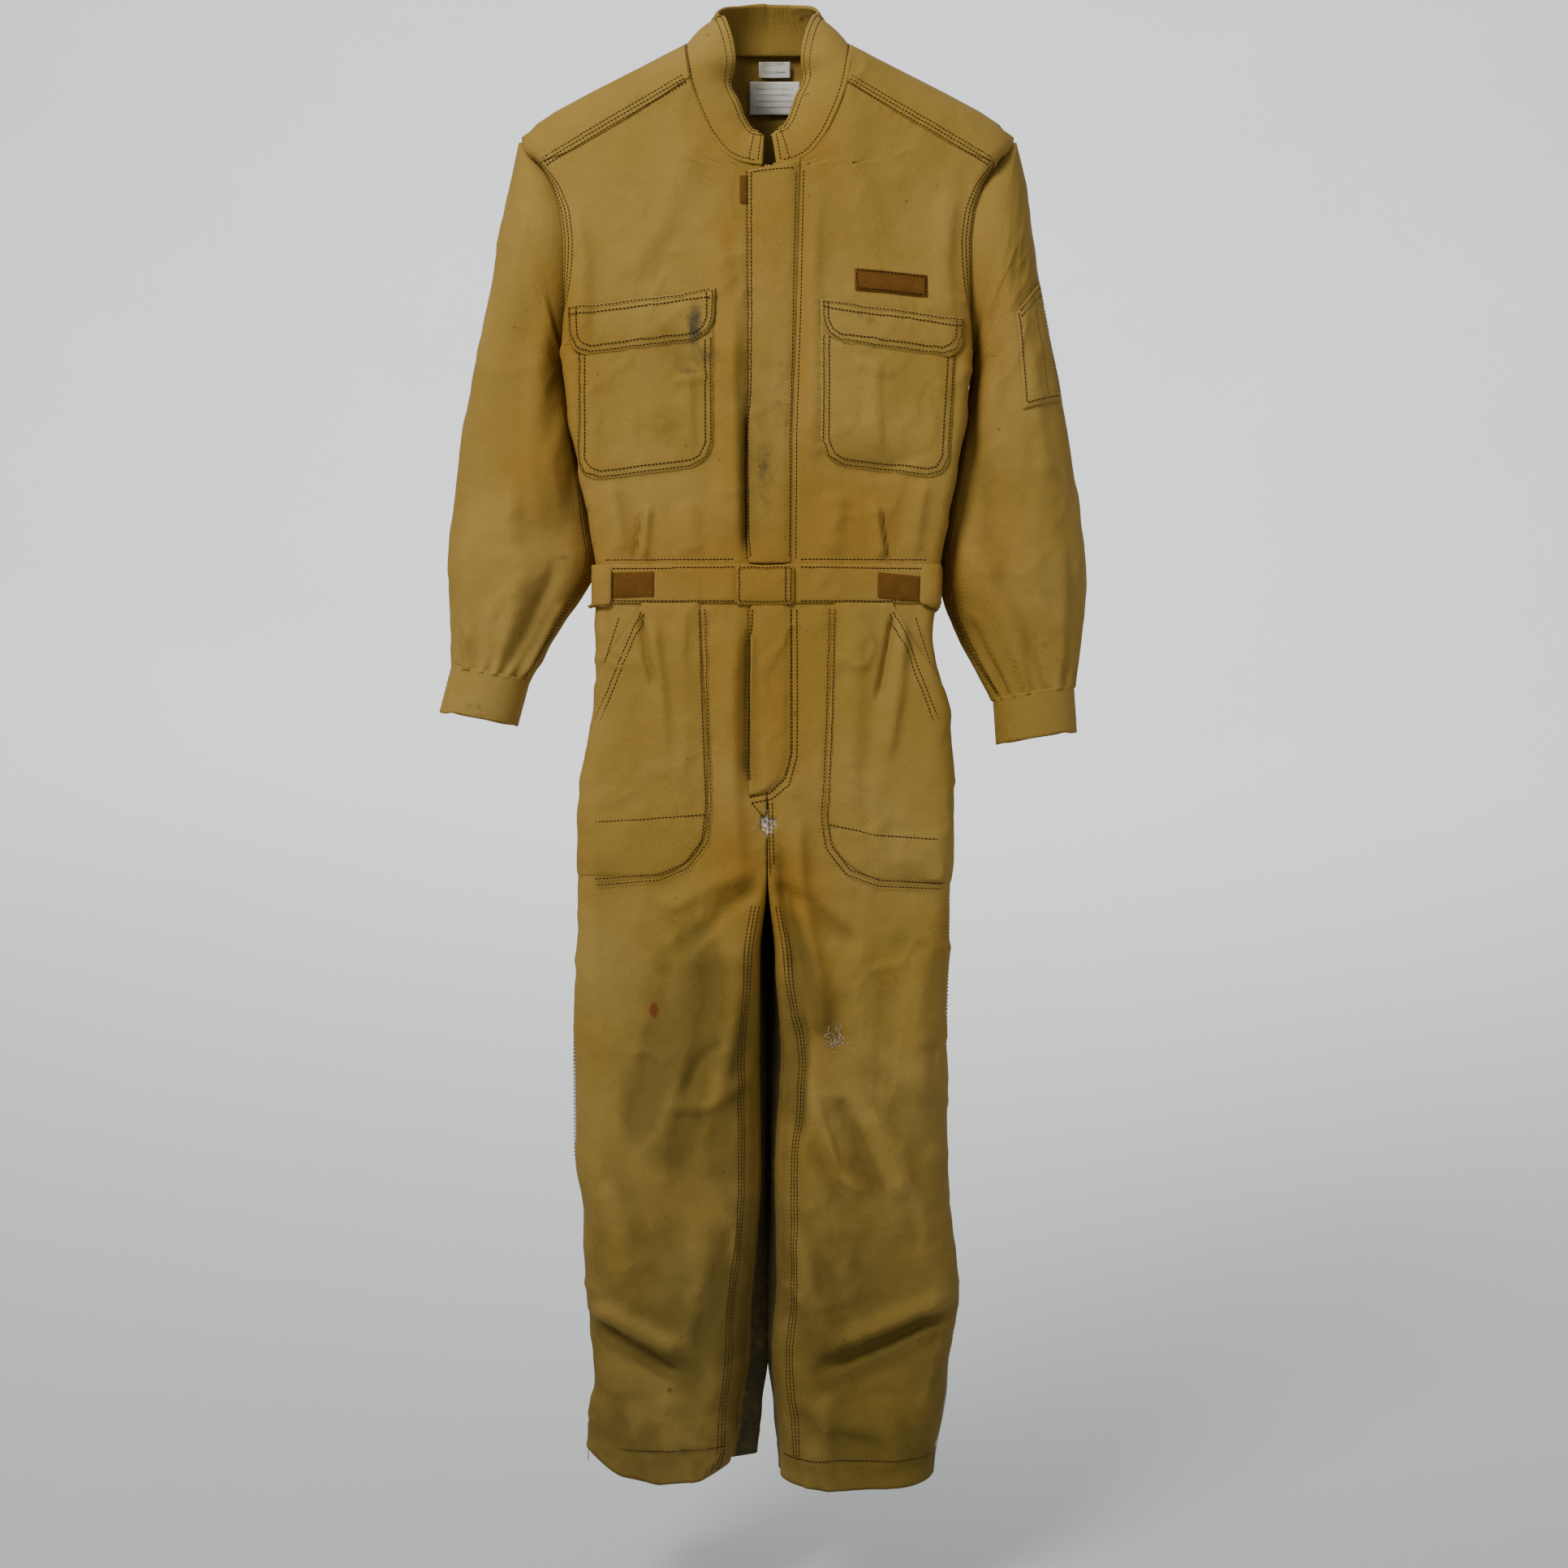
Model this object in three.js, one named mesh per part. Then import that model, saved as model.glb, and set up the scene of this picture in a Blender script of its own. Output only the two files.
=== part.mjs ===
// A hanging one-piece work coverall: bodice, waistband, trousers, sleeves, pockets and closures.
// Millimetres, +Z up, the front faces -Y, +X is the wearer's left.
// The origin is the centre back neck point, where the collar seam crosses the back yoke.
import * as THREE from "three";

// Cloth and clearances
const cloth = 2; // a panel of the body
const patchCloth = 1.6; // a pocket, flap or tab laid on a panel
const padThickness = 0.6; // a hook-and-loop pad
const edgeGap = 0.8; // between two panels that meet edge to edge
const layerGap = 0.6; // between two layers laid on each other

// Body heights, from the neck down
const ridgeNeck = { x: 80, z: -11 };
const shoulderTip = { x: 256, z: -110 };
const underarm = { x: 212, z: -335 };
const frontNeckZ = -148;
const waistTop = -557;
const waistDepth = 41;
const waistBottom = waistTop - waistDepth;
const crotchZ = -881;
const hemZ = -1500;
const hemDepth = 30;

// Body depths
const seamY = -50; // shoulder ridge, side seams and the middle of the limbs
const frontDepth = 68;
const backDepth = 58;
const crown = 0.0002; // how fast the front and back fall away from the middle, per mm
const bodyCorner = 14; // radius between the front and the side
const shoulderRound = 60;
const armholeDepth = 56;

// Centre front closure
const zipHalfOpening = 8; // from the middle to each front edge
const zipTop = -152;
const zipBottom = -792;
const placketLeft = -19.5;
const placketRight = 25.5;
const placketRoot = 6.5; // the stitched-down width at the hinge side
const placketTop = -157;

const colours = {
  cotton: 0xa8873a,
  hookAndLoop: 0x7d4e20,
  label: 0xd9d4c8,
  zipTape: 0x8a6a2c,
  brass: 0x9a7b3a,
};
const finishes = {
  cotton: new THREE.MeshStandardMaterial({ color: colours.cotton, roughness: 0.92, metalness: 0 }),
  hookAndLoop: new THREE.MeshStandardMaterial({ color: colours.hookAndLoop, roughness: 1, metalness: 0 }),
  label: new THREE.MeshStandardMaterial({ color: colours.label, roughness: 0.8, metalness: 0 }),
  zipTape: new THREE.MeshStandardMaterial({ color: colours.zipTape, roughness: 0.9, metalness: 0 }),
  brass: new THREE.MeshStandardMaterial({ color: colours.brass, roughness: 0.4, metalness: 1 }),
};

const coverall = new THREE.Group();
const { clamp, lerp, degToRad } = THREE.MathUtils;

function add(name, geometry, finish) {
  const mesh = new THREE.Mesh(geometry, finishes[finish].clone());
  mesh.name = name;
  coverall.add(mesh);
  return mesh;
}

// The wearer's left piece as modelled, and its mirror image on the right.
function addPair(name, geometry, finish) {
  add(`left_${name}`, geometry, finish);
  add(`right_${name}`, geometry, finish).scale.x = -1;
}

// A value that eases between stops [[z, value], ...] listed from the top down.
function easeBetween(stops) {
  return (z) => {
    if (z >= stops[0][0]) return stops[0][1];
    for (let i = 1; i < stops.length; i++) {
      const [z0, v0] = stops[i - 1];
      const [z1, v1] = stops[i];
      if (z >= z1) return lerp(v0, v1, THREE.MathUtils.smoothstep((z - z0) / (z1 - z0), 0, 1));
    }
    return stops[stops.length - 1][1];
  };
}

function evenSteps(count, from = 0, to = 1) {
  return Array.from({ length: count + 1 }, (_, i) => lerp(from, to, i / count));
}

// A closed solid of even thickness on a surface(a, b): a runs across, b along, and
// the solid starts `lift` off the surface. A tube joins its last column to its first.
function sheet(surface, across, along, { lift = 0, thick = cloth, tube = false } = {}) {
  const step = 1e-3;
  const normalAt = (a, b) => {
    const a0 = tube ? a - step : Math.max(across[0], a - step);
    const a1 = tube ? a + step : Math.min(across[across.length - 1], a + step);
    const b0 = Math.max(along[0], b - step);
    const b1 = Math.min(along[along.length - 1], b + step);
    const da = surface(a1, b).sub(surface(a0, b));
    const db = surface(a, b1).sub(surface(a, b0));
    return da.cross(db).normalize();
  };
  const columns = tube ? across.slice(0, -1) : across;
  const points = [];
  for (const height of [lift, lift + thick]) {
    for (const b of along) {
      for (const a of columns) {
        points.push(surface(a, b).addScaledVector(normalAt(a, b), height));
      }
    }
  }
  const wide = columns.length;
  const tall = along.length;
  const at = (layer, row, column) => layer * wide * tall + row * wide + (column % wide);
  const faces = [];
  const quad = (p, q, r, s) => faces.push(p, q, r, p, r, s);
  const lastColumn = tube ? wide : wide - 1;
  for (let row = 0; row < tall - 1; row++) {
    for (let column = 0; column < lastColumn; column++) {
      const next = column + 1;
      quad(at(1, row, column), at(1, row, next), at(1, row + 1, next), at(1, row + 1, column));
      quad(at(0, row, column), at(0, row + 1, column), at(0, row + 1, next), at(0, row, next));
    }
  }
  for (let column = 0; column < lastColumn; column++) {
    const next = column + 1;
    quad(at(0, 0, column), at(0, 0, next), at(1, 0, next), at(1, 0, column));
    quad(at(1, tall - 1, column), at(1, tall - 1, next), at(0, tall - 1, next), at(0, tall - 1, column));
  }
  if (!tube) {
    for (let row = 0; row < tall - 1; row++) {
      quad(at(1, row, 0), at(1, row + 1, 0), at(0, row + 1, 0), at(0, row, 0));
      quad(at(0, row, wide - 1), at(0, row + 1, wide - 1), at(1, row + 1, wide - 1), at(1, row, wide - 1));
    }
  }
  const geometry = new THREE.BufferGeometry().setFromPoints(points);
  geometry.setIndex(faces);
  return geometry;
}

// --- The body: half of a rounded box section at each height, front and back ---

const bodyHalfWidth = easeBetween([
  [underarm.z, underarm.x], [-450, 207], [waistTop, 178], [waistBottom, 178], [-790, 192], [crotchZ, 193],
]);
const ridgeSlope = (shoulderTip.z - ridgeNeck.z) / (shoulderTip.x - ridgeNeck.x);
const ridgeZ = (x) => ridgeNeck.z + ridgeSlope * (x - ridgeNeck.x);
const armholeX = (z) =>
  lerp(shoulderTip.x, underarm.x, clamp((z - shoulderTip.z) / (underarm.z - shoulderTip.z), 0, 1));

// How far the armhole's edge stands in front of, or behind, the side seam at a height.
function armholeReach(z) {
  const middle = (shoulderTip.z + underarm.z) / 2;
  const half = (shoulderTip.z - underarm.z) / 2;
  return armholeDepth * Math.sqrt(Math.max(0, 1 - ((z - middle) / half) ** 2));
}

// One height of the body on one face: side is -1 at the front and +1 at the back.
function bodySection(z, side) {
  const depth = side < 0 ? frontDepth : backDepth;
  if (z <= underarm.z) {
    const width = bodyHalfWidth(z);
    const flat = width - bodyCorner;
    const shoulder = depth - crown * flat * flat;
    return { width, flat, depth, end: flat + (Math.PI / 2 - 1) * bodyCorner + shoulder };
  }
  const edge = armholeX(z);
  const shoulder = depth - crown * edge * edge;
  const drop = Math.max(0, shoulder - armholeReach(z));
  const turn = Math.acos(clamp(1 - drop / bodyCorner, 0, 1));
  const width = edge + bodyCorner * (1 - Math.sin(turn));
  const flat = width - bodyCorner;
  return { width, flat, depth, end: flat + turn * bodyCorner + Math.max(0, drop - bodyCorner) };
}

// Arc length at a share of the way from a starting edge to the side: the first part of the
// share covers the flat of the front or back, and the rest turns the corner to the side.
const cornerShare = 0.7;
function bodyShare(share, z, side, from) {
  const { flat, end } = bodySection(z, side);
  if (share <= cornerShare) return lerp(from, Math.max(from, flat), share / cornerShare);
  return lerp(flat, end - edgeGap / 2, (share - cornerShare) / (1 - cornerShare));
}

// The point at arc length u from the middle of the front or back, at height z.
function bodyPoint(u, z, side) {
  const { width, flat, depth } = bodySection(z, side);
  const across = Math.abs(u);
  const turn = (across - flat) / bodyCorner;
  let x = across;
  let reach = depth - crown * across * across;
  if (turn > 0) {
    const shoulder = depth - crown * flat * flat;
    if (turn < Math.PI / 2) {
      x = flat + bodyCorner * Math.sin(turn);
      reach = shoulder - bodyCorner * (1 - Math.cos(turn));
    } else {
      x = width;
      reach = shoulder - bodyCorner - (turn - Math.PI / 2) * bodyCorner;
    }
  }
  const below = clamp((ridgeZ(x) - z) / shoulderRound, 0, 1);
  reach *= Math.sqrt(1 - (1 - below) ** 2);
  return new THREE.Vector3(Math.sign(u) * x, seamY + side * reach, z);
}

// --- Bodice ---

const yokeFrontNeck = { x: 58, z: -75 };
const yokeFrontArm = -148;
const yokeBackZ = -140;

// Half the width of the neckline at a height: a half ellipse below, a flare above it.
const neckBowlZ = -88;
function neckHalfWidth(z) {
  if (z < neckBowlZ) {
    const rise = (z - neckBowlZ) / (neckBowlZ - frontNeckZ);
    return yokeFrontNeck.x * Math.sqrt(Math.max(0, 1 - rise * rise));
  }
  return lerp(yokeFrontNeck.x, ridgeNeck.x, ((z - neckBowlZ) / (ridgeNeck.z - neckBowlZ)) ** 2);
}

// The seam between the front panels and the yoke runs straight from the neck to the armhole.
const yokeFrontArmX = armholeX(yokeFrontArm);
const yokeSeamZ = (x) =>
  lerp(yokeFrontNeck.z, yokeFrontArm, (x - yokeFrontNeck.x) / (yokeFrontArmX - yokeFrontNeck.x));

function frontPanel() {
  const surface = (a, b) => {
    const place = (z) => bodyPoint(bodyShare(a, z, -1, Math.max(zipHalfOpening, neckHalfWidth(z))), z, -1);
    let top = yokeFrontNeck.z;
    for (let pass = 0; pass < 12; pass++) top = yokeSeamZ(place(top).x) - edgeGap / 2;
    return place(lerp(waistTop + edgeGap / 2, top, b));
  };
  const across = [0, 0.22, 0.46, 0.7, 0.78, 0.86, 1];
  const along = [0, 0.16, 0.32, 0.46, 0.542, 0.62, 0.7, 0.78, 0.846, 0.862, 0.89, 0.94, 1];
  return sheet(surface, across, along, { lift: -cloth });
}

function backPanel() {
  const surface = (a, b) => {
    const z = lerp(waistTop + edgeGap / 2, yokeBackZ - edgeGap / 2, b);
    return bodyPoint(-Math.sign(a) * bodyShare(Math.abs(a), z, 1, 0), z, 1);
  };
  const half = [0.25, 0.5, 0.7, 0.78, 0.86, 1];
  const across = [...half.map((a) => -a).reverse(), 0, ...half];
  return sheet(surface, across, [0, 0.18, 0.36, 0.532, 0.62, 0.72, 0.82, 0.92, 1], { lift: -cloth });
}

// The yoke's own way of finding a point: x, and the drop from the ridge, positive at the back.
function shoulderPoint(x, drop) {
  return bodyPoint(x, ridgeZ(Math.abs(x)) - Math.abs(drop), drop < 0 ? -1 : 1);
}

// The yoke's upper edge, as x and drop, from the centre back (0) round the neck to the armhole (1).
const yokeEdge = [
  [0, ridgeZ(0)],
  [30, ridgeZ(30) + 1],
  [56, ridgeZ(56) + 6],
  [ridgeNeck.x, 0],
  [neckHalfWidth(-45), -45 - ridgeZ(neckHalfWidth(-45))],
  ...[yokeFrontNeck.x, 120, 185, yokeFrontArmX].map((x) => [x, yokeSeamZ(x) + edgeGap / 2 - ridgeZ(x)]),
];
function alongYokeEdge(part) {
  const i = clamp(Math.floor(part), 0, yokeEdge.length - 2);
  const [x0, drop0] = yokeEdge[i];
  const [x1, drop1] = yokeEdge[i + 1];
  return [lerp(x0, x1, part - i), lerp(drop0, drop1, part - i)];
}

// Stops along that edge: close together where it comes over the ridge and turns down the front.
const yokeStops = [
  0, 0.5, 1, 1.5, 2, 2.4, 2.7, 2.9, 3, 3.03, 3.1, 3.25, 3.5, 3.75, 4, 4.5, 5, 5.5, 6, 6.5, 7, 7.5, 8,
];

function shoulderYoke() {
  const last = yokeEdge.length - 1;
  const backX = [0, 22, 50, 130, 160, 175, 195, 225, armholeX(yokeBackZ) - 1.5];
  const surface = (a, b) => {
    const part = clamp(Math.abs(a), 0, 1) * last;
    const i = Math.min(Math.floor(part), last - 1);
    const [edgeX, edgeDrop] = alongYokeEdge(part);
    const startX = lerp(backX[i], backX[i + 1], part - i);
    const startDrop = ridgeZ(startX) - yokeBackZ;
    return shoulderPoint(Math.sign(-a) * lerp(startX, edgeX, b), lerp(startDrop, edgeDrop, b));
  };
  const half = yokeStops.slice(1).map((stop) => stop / last);
  const across = [...half.map((a) => -a).reverse(), 0, ...half];
  return sheet(surface, across, [0.004, 0.2, 0.4, 0.55, 0.68, 0.8, 0.9, 0.996], { lift: -cloth });
}

// --- Collar: a strip that stands on the neckline, open at the centre front ---

const collarHeight = 44;
const collarGap = 5; // from the middle to each front end
const collarCloth = 3;
const collarLean = 0.35; // how far it leans in towards the neck, against its rise
const collarSeam = 2.2; // from the neckline's edge to its own lower edge

// Half of the neckline from the centre back (0) to the centre front (1).
const necklineHalf = new THREE.CatmullRomCurve3([
  ...yokeStops.filter((stop) => stop <= 5).map((stop) => shoulderPoint(...alongYokeEdge(stop))),
  ...[-90, -105, -120, -132, -141].map((z) => bodyPoint(neckHalfWidth(z), z, -1)),
  bodyPoint(collarGap, frontNeckZ + 1, -1),
]);

function collar() {
  const surface = (a, b) => {
    const along = Math.abs(a);
    const base = necklineHalf.getPoint(along);
    const tangent = necklineHalf.getTangent(clamp(along, 0.001, 0.999));
    const rise = new THREE.Vector3(-base.x, seamY - base.y, 0).normalize().multiplyScalar(collarLean);
    rise.z = 1;
    rise.addScaledVector(tangent, -rise.dot(tangent)).normalize();
    const point = base.addScaledVector(rise, collarSeam + b * collarHeight);
    return new THREE.Vector3(Math.sign(-a) * point.x, point.y, point.z);
  };
  return sheet(surface, evenSteps(44, -1, 1), [0, 1], { lift: -collarCloth / 2, thick: collarCloth });
}

// --- Waistband and trousers down to the hip split ---

function waistbandFront() {
  const surface = (a, b) => {
    const z = lerp(waistBottom + edgeGap / 2, waistTop - edgeGap / 2, b);
    return bodyPoint(bodyShare(a, z, -1, zipHalfOpening), z, -1);
  };
  return sheet(surface, [0, 0.35, 0.7, 0.78, 0.86, 1], [0, 1], { lift: -cloth });
}

function waistbandBack() {
  const surface = (a, b) => {
    const z = lerp(waistBottom + edgeGap / 2, waistTop - edgeGap / 2, b);
    return bodyPoint(-Math.sign(a) * bodyShare(Math.abs(a), z, 1, 0), z, 1);
  };
  return sheet(surface, [-1, -0.86, -0.78, -0.7, 0, 0.7, 0.78, 0.86, 1], [0, 1], { lift: -cloth });
}

// The legs swing about these pivots, so the cloth is split along an arc round each one.
const hipPivot = { x: 100, z: -780 };
const hipRadius = 137;
const hipGap = 2;
function hipSplit(x, grow) {
  const radius = hipRadius + grow;
  const off = clamp(Math.abs(x) - hipPivot.x, -0.68 * hipRadius, 0.68 * hipRadius);
  return hipPivot.z - Math.sqrt(radius * radius - off * off);
}

function hipPanel(side) {
  const surface = (a, b) => {
    const share = side < 0 ? a : 1 - a;
    const centre = (z) =>
      side < 0 ? lerp(edgeGap / 2, zipHalfOpening, clamp((z - zipBottom + 20) / 12, 0, 1)) : edgeGap / 2;
    const place = (z) => bodyPoint(bodyShare(share, z, side, centre(z)), z, side);
    const bottom = hipSplit(place(crotchZ).x, -hipGap / 2);
    return place(lerp(bottom, waistBottom - edgeGap / 2, b));
  };
  const across = [0, 0.18, 0.36, 0.54, 0.7, 0.78, 0.86, 1];
  return sheet(surface, side < 0 ? across : across.map((a) => 1 - a).reverse(),
    [0, 0.12, 0.24, 0.29, 0.5, 0.75, 1], { lift: -cloth });
}

// --- Legs below the split: a closed rounded section ---

const legOuter = easeBetween([[crotchZ, 193], [-1050, 196], [-1250, 188], [hemZ, 178]]);
const legInner = easeBetween([[crotchZ, 7], [-1050, 9], [-1250, 12], [hemZ, 22]]);
const legOuterCorner = easeBetween([[crotchZ, bodyCorner], [-1080, 42], [hemZ, 44]]);
const legInnerCorner = easeBetween([[crotchZ, 6], [-1080, 42], [hemZ, 44]]);
const legFront = easeBetween([[crotchZ, frontDepth], [-1100, 62], [hemZ, 50]]);
const legBack = easeBetween([[crotchZ, backDepth], [-1100, 56], [hemZ, 48]]);

// A point on the leg's front or back, at a share of the way from the inseam to the outseam.
function legPoint(share, z, side) {
  const [outer, inner, ro, ri] = [legOuter(z), legInner(z), legOuterCorner(z), legInnerCorner(z)];
  const depth = side < 0 ? legFront(z) : legBack(z);
  const fall = (x) => depth - crown * x * x * clamp((z + 1300) / 400, 0, 1);
  const innerSide = fall(inner + ri) - ri;
  const outerSide = fall(outer - ro) - ro;
  const flat = outer - ro - inner - ri;
  const parts = [innerSide, (ri * Math.PI) / 2, flat, (ro * Math.PI) / 2, outerSide];
  let rest = clamp(share, 0, 1) * parts.reduce((sum, part) => sum + part, 0);
  let x = inner;
  let reach = rest;
  if (rest > parts[0]) {
    rest -= parts[0];
    const turn = rest / ri;
    x = inner + ri * (1 - Math.cos(turn));
    reach = innerSide + ri * Math.sin(turn);
    if (rest > parts[1]) {
      rest -= parts[1];
      x = inner + ri + rest;
      reach = fall(x);
      if (rest > parts[2]) {
        rest -= parts[2];
        const outTurn = rest / ro;
        x = outer - ro + ro * Math.sin(outTurn);
        reach = outerSide + ro * Math.cos(outTurn);
        if (rest > parts[3]) {
          x = outer;
          reach = outerSide - (rest - parts[3]);
        }
      }
    }
  }
  return new THREE.Vector3(x, seamY + side * reach, z);
}

function legPanel(side) {
  const seamShare = edgeGap / 2 / 300;
  const surface = (a, b) => {
    const share = lerp(seamShare, 1 - seamShare, side < 0 ? a : 1 - a);
    const top = hipSplit(legPoint(share, hipPivot.z - hipRadius, side).x, hipGap / 2);
    return legPoint(share, lerp(hemZ + hemDepth + edgeGap / 2, top, b), side);
  };
  const across = [0, 0.12, 0.2, 0.3, 0.42, 0.56, 0.68, 0.78, 0.87, 1];
  return sheet(surface, side < 0 ? across : across.map((a) => 1 - a).reverse(),
    [0, 0.12, 0.26, 0.42, 0.58, 0.7, 0.8, 0.9, 1], { lift: -cloth });
}

const hemCloth = 3;
function legHem() {
  const surface = (a, b) => {
    const z = lerp(hemZ, hemZ + hemDepth - edgeGap / 2, b);
    const turn = ((a % 1) + 1) % 1;
    return turn < 0.5 ? legPoint(turn * 2, z, -1) : legPoint(2 - turn * 2, z, 1);
  };
  return sheet(surface, evenSteps(20), [0, 1], { lift: -cloth, thick: hemCloth, tube: true });
}

// --- Sleeves, between an outer and an inner edge in the front view ---

const sleeveGap = 2.4; // from the bodice's armhole edge to the sleeve's
const sleeveOuter = new THREE.CatmullRomCurve3([
  [shoulderTip.x, shoulderTip.z], [269, -170], [281, -235], [299, -325],
  [316, -422], [329, -520], [332, -598], [325, -668],
].map(([x, z]) => new THREE.Vector3(x, seamY, z)));
const sleeveInner = new THREE.CatmullRomCurve3([
  [underarm.x, underarm.z], [215, -343], [215, -352], [214, -385],
  [212, -440], [200, -520], [194, -590], [241, -676],
].map(([x, z]) => new THREE.Vector3(x, seamY, z)));
const sleeveDepth = easeBetween([[0, armholeDepth], [-0.35, 48], [-0.75, 50], [-1, 34]]);

// A point on the sleeve: turn goes once round from the outer edge, by the front; t goes down to the cuff.
// Lifts are measured into the sleeve, so what lies on its outside has a negative lift.
function sleevePoint(turn, t) {
  const outer = sleeveOuter.getPoint(clamp(t, 0, 1));
  const inner = sleeveInner.getPoint(clamp(t, 0, 1));
  const angle = 2 * Math.PI * turn;
  const point = outer.clone().add(inner).multiplyScalar(0.5);
  point.addScaledVector(outer.sub(inner), Math.cos(angle) / 2);
  point.x += sleeveGap;
  point.y -= sleeveDepth(-t) * Math.sin(angle);
  return point;
}

const sleeveTurns = evenSteps(16);
function sleeve() {
  const surface = (a, b) => sleevePoint(a, lerp(1, 0, b));
  return sheet(surface, sleeveTurns, [0, 0.1, 0.22, 0.36, 0.48, 0.68, 0.82, 0.92, 1],
    { lift: -cloth, tube: true });
}

const cuffCloth = 3;
const cuffDepthZ = 47;
const cuffLean = 8; // the cuff goes on in line with the forearm
function cuffPoint(turn, down) {
  const point = sleevePoint(turn, 1);
  point.x += (down / cuffDepthZ) * cuffLean;
  point.z -= down;
  return point;
}
function cuff() {
  const surface = (a, b) => cuffPoint(a, lerp(cuffDepthZ, 1, b));
  return sheet(surface, sleeveTurns, [0, 1], { lift: -cloth, thick: cuffCloth, tube: true });
}
function cuffTab() {
  const surface = (a, b) => cuffPoint(lerp(0.625, 0.875, a), lerp(38, 10, b));
  return sheet(surface, evenSteps(4), [0, 1], { lift: -cloth - layerGap - patchCloth, thick: patchCloth });
}

function penPocket() {
  const surface = (a, b) => sleevePoint(lerp(0, 0.25, a), lerp(0.52, 0.32, b));
  return sheet(surface, evenSteps(4), [0, 1], { lift: -cloth - layerGap - patchCloth, thick: patchCloth });
}

// --- Pockets and flaps laid on the body ---

// A patch between left(z) and right(z), both arc lengths from the middle, on one face of the body.
// slope tilts its rows, so that they rise towards the middle of the garment.
function bodyPatch({ from, to, left, right, side = -1, slope = 0, lift, thick = patchCloth, rows, columns = 6 }) {
  const surface = (a, b) => {
    const level = lerp(from, to, b);
    const u = lerp(left(level), right(level), side < 0 ? a : 1 - a);
    return bodyPoint(u, level - slope * (u - left(to)), side);
  };
  const across = side < 0 ? evenSteps(columns) : evenSteps(columns, 1, 0).reverse();
  return sheet(surface, across, rows ?? evenSteps(4), { lift, thick });
}

// How far a rounded corner of this radius cuts in, at a height above the patch's lower edge.
const cornerCut = (radius, above) =>
  above >= radius ? 0 : radius - Math.sqrt(Math.max(0, radius * radius - (radius - above) ** 2));

const chest = { left: 53, right: 194, top: -288, bottom: -452, flapBottom: -331, slope: 0.13, corner: 26 };
const flapRows = [0, 0.12, 0.3, 0.6, 1];
const pocketRows = [0, 0.05, 0.16, 0.5, 1];
function chestPocket() {
  return bodyPatch({
    from: chest.bottom, to: chest.top - 3, slope: chest.slope, lift: layerGap, rows: pocketRows, columns: 7,
    left: (z) => chest.left + 1 + cornerCut(chest.corner, z - chest.bottom),
    right: (z) => chest.right - 0.14 * (chest.top - z) - cornerCut(chest.corner, z - chest.bottom),
  });
}
const flapLift = layerGap + patchCloth + layerGap;
function chestFlap() {
  return bodyPatch({
    from: chest.flapBottom, to: chest.top, slope: chest.slope, lift: flapLift, rows: flapRows, columns: 7,
    left: (z) => chest.left + cornerCut(chest.corner, z - chest.flapBottom),
    right: (z) => chest.right + 1 - cornerCut(chest.corner, z - chest.flapBottom),
  });
}

const thigh = { left: 58, top: waistBottom - 3, bottom: crotchZ + 6, corner: 62, openingTop: 128, openingEnd: -728 };
function thighPocket() {
  const side = (z) => bodySection(z, -1).flat - 1;
  return bodyPatch({
    from: thigh.bottom, to: thigh.top, lift: layerGap, columns: 9,
    rows: [0, 0.03, 0.08, 0.16, 0.3, 0.54, 0.7, 0.85, 1],
    left: (z) => thigh.left + cornerCut(thigh.corner, z - thigh.bottom),
    right: (z) => (z < thigh.openingEnd ? side(z)
      : lerp(side(z), thigh.openingTop, (z - thigh.openingEnd) / (thigh.top - thigh.openingEnd))),
  });
}

const seat = { left: 42, right: 158, top: -650, bottom: -795, corner: 18 };
function seatPocket() {
  return bodyPatch({
    from: seat.bottom, to: seat.top, side: 1, lift: layerGap, rows: [0, 0.04, 0.12, 0.5, 1],
    left: (z) => seat.left + cornerCut(seat.corner, z - seat.bottom),
    right: (z) => seat.right - cornerCut(seat.corner, z - seat.bottom),
  });
}

// --- Flat pads and tabs, drawn in the front view and extruded towards the wearer ---

// A rectangle with the free corners rounded; freeSide is +1, -1 or 0 for all four square.
function plateShape(x0, x1, z0, z1, freeSide = 0, radius = 6) {
  const shape = new THREE.Shape();
  const right = freeSide > 0 ? radius : 0.01;
  const left = freeSide < 0 ? radius : 0.01;
  shape.moveTo(x0 + left, z0);
  shape.lineTo(x1 - right, z0);
  shape.quadraticCurveTo(x1, z0, x1, z0 + right);
  shape.lineTo(x1, z1 - right);
  shape.quadraticCurveTo(x1, z1, x1 - right, z1);
  shape.lineTo(x0 + left, z1);
  shape.quadraticCurveTo(x0, z1, x0, z1 - left);
  shape.lineTo(x0, z0 + left);
  shape.quadraticCurveTo(x0, z0, x0 + left, z0);
  return shape;
}

// A plate whose front face stands at y, with its thickness behind it.
function plate(shape, y, thickness) {
  const geometry = new THREE.ExtrudeGeometry(shape, { depth: thickness, bevelEnabled: false, curveSegments: 3 });
  geometry.rotateX(Math.PI / 2);
  return geometry.translate(0, y + thickness, 0);
}

const bodyFrontY = seamY - frontDepth; // the cloth's outer face at the middle
const faceY = (x) => bodyFrontY + crown * x * x;

// Name patch: its front face is flat, and its back stays clear of the curved chest.
const namePatch = { x0: 87, x1: 159, z0: -264, z1: -242, front: bodyFrontY - 0.4 };
function namePatchSolid() {
  return plate(plateShape(namePatch.x0, namePatch.x1, namePatch.z0, namePatch.z1),
    namePatch.front, faceY(namePatch.x0) - layerGap - namePatch.front);
}

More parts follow.
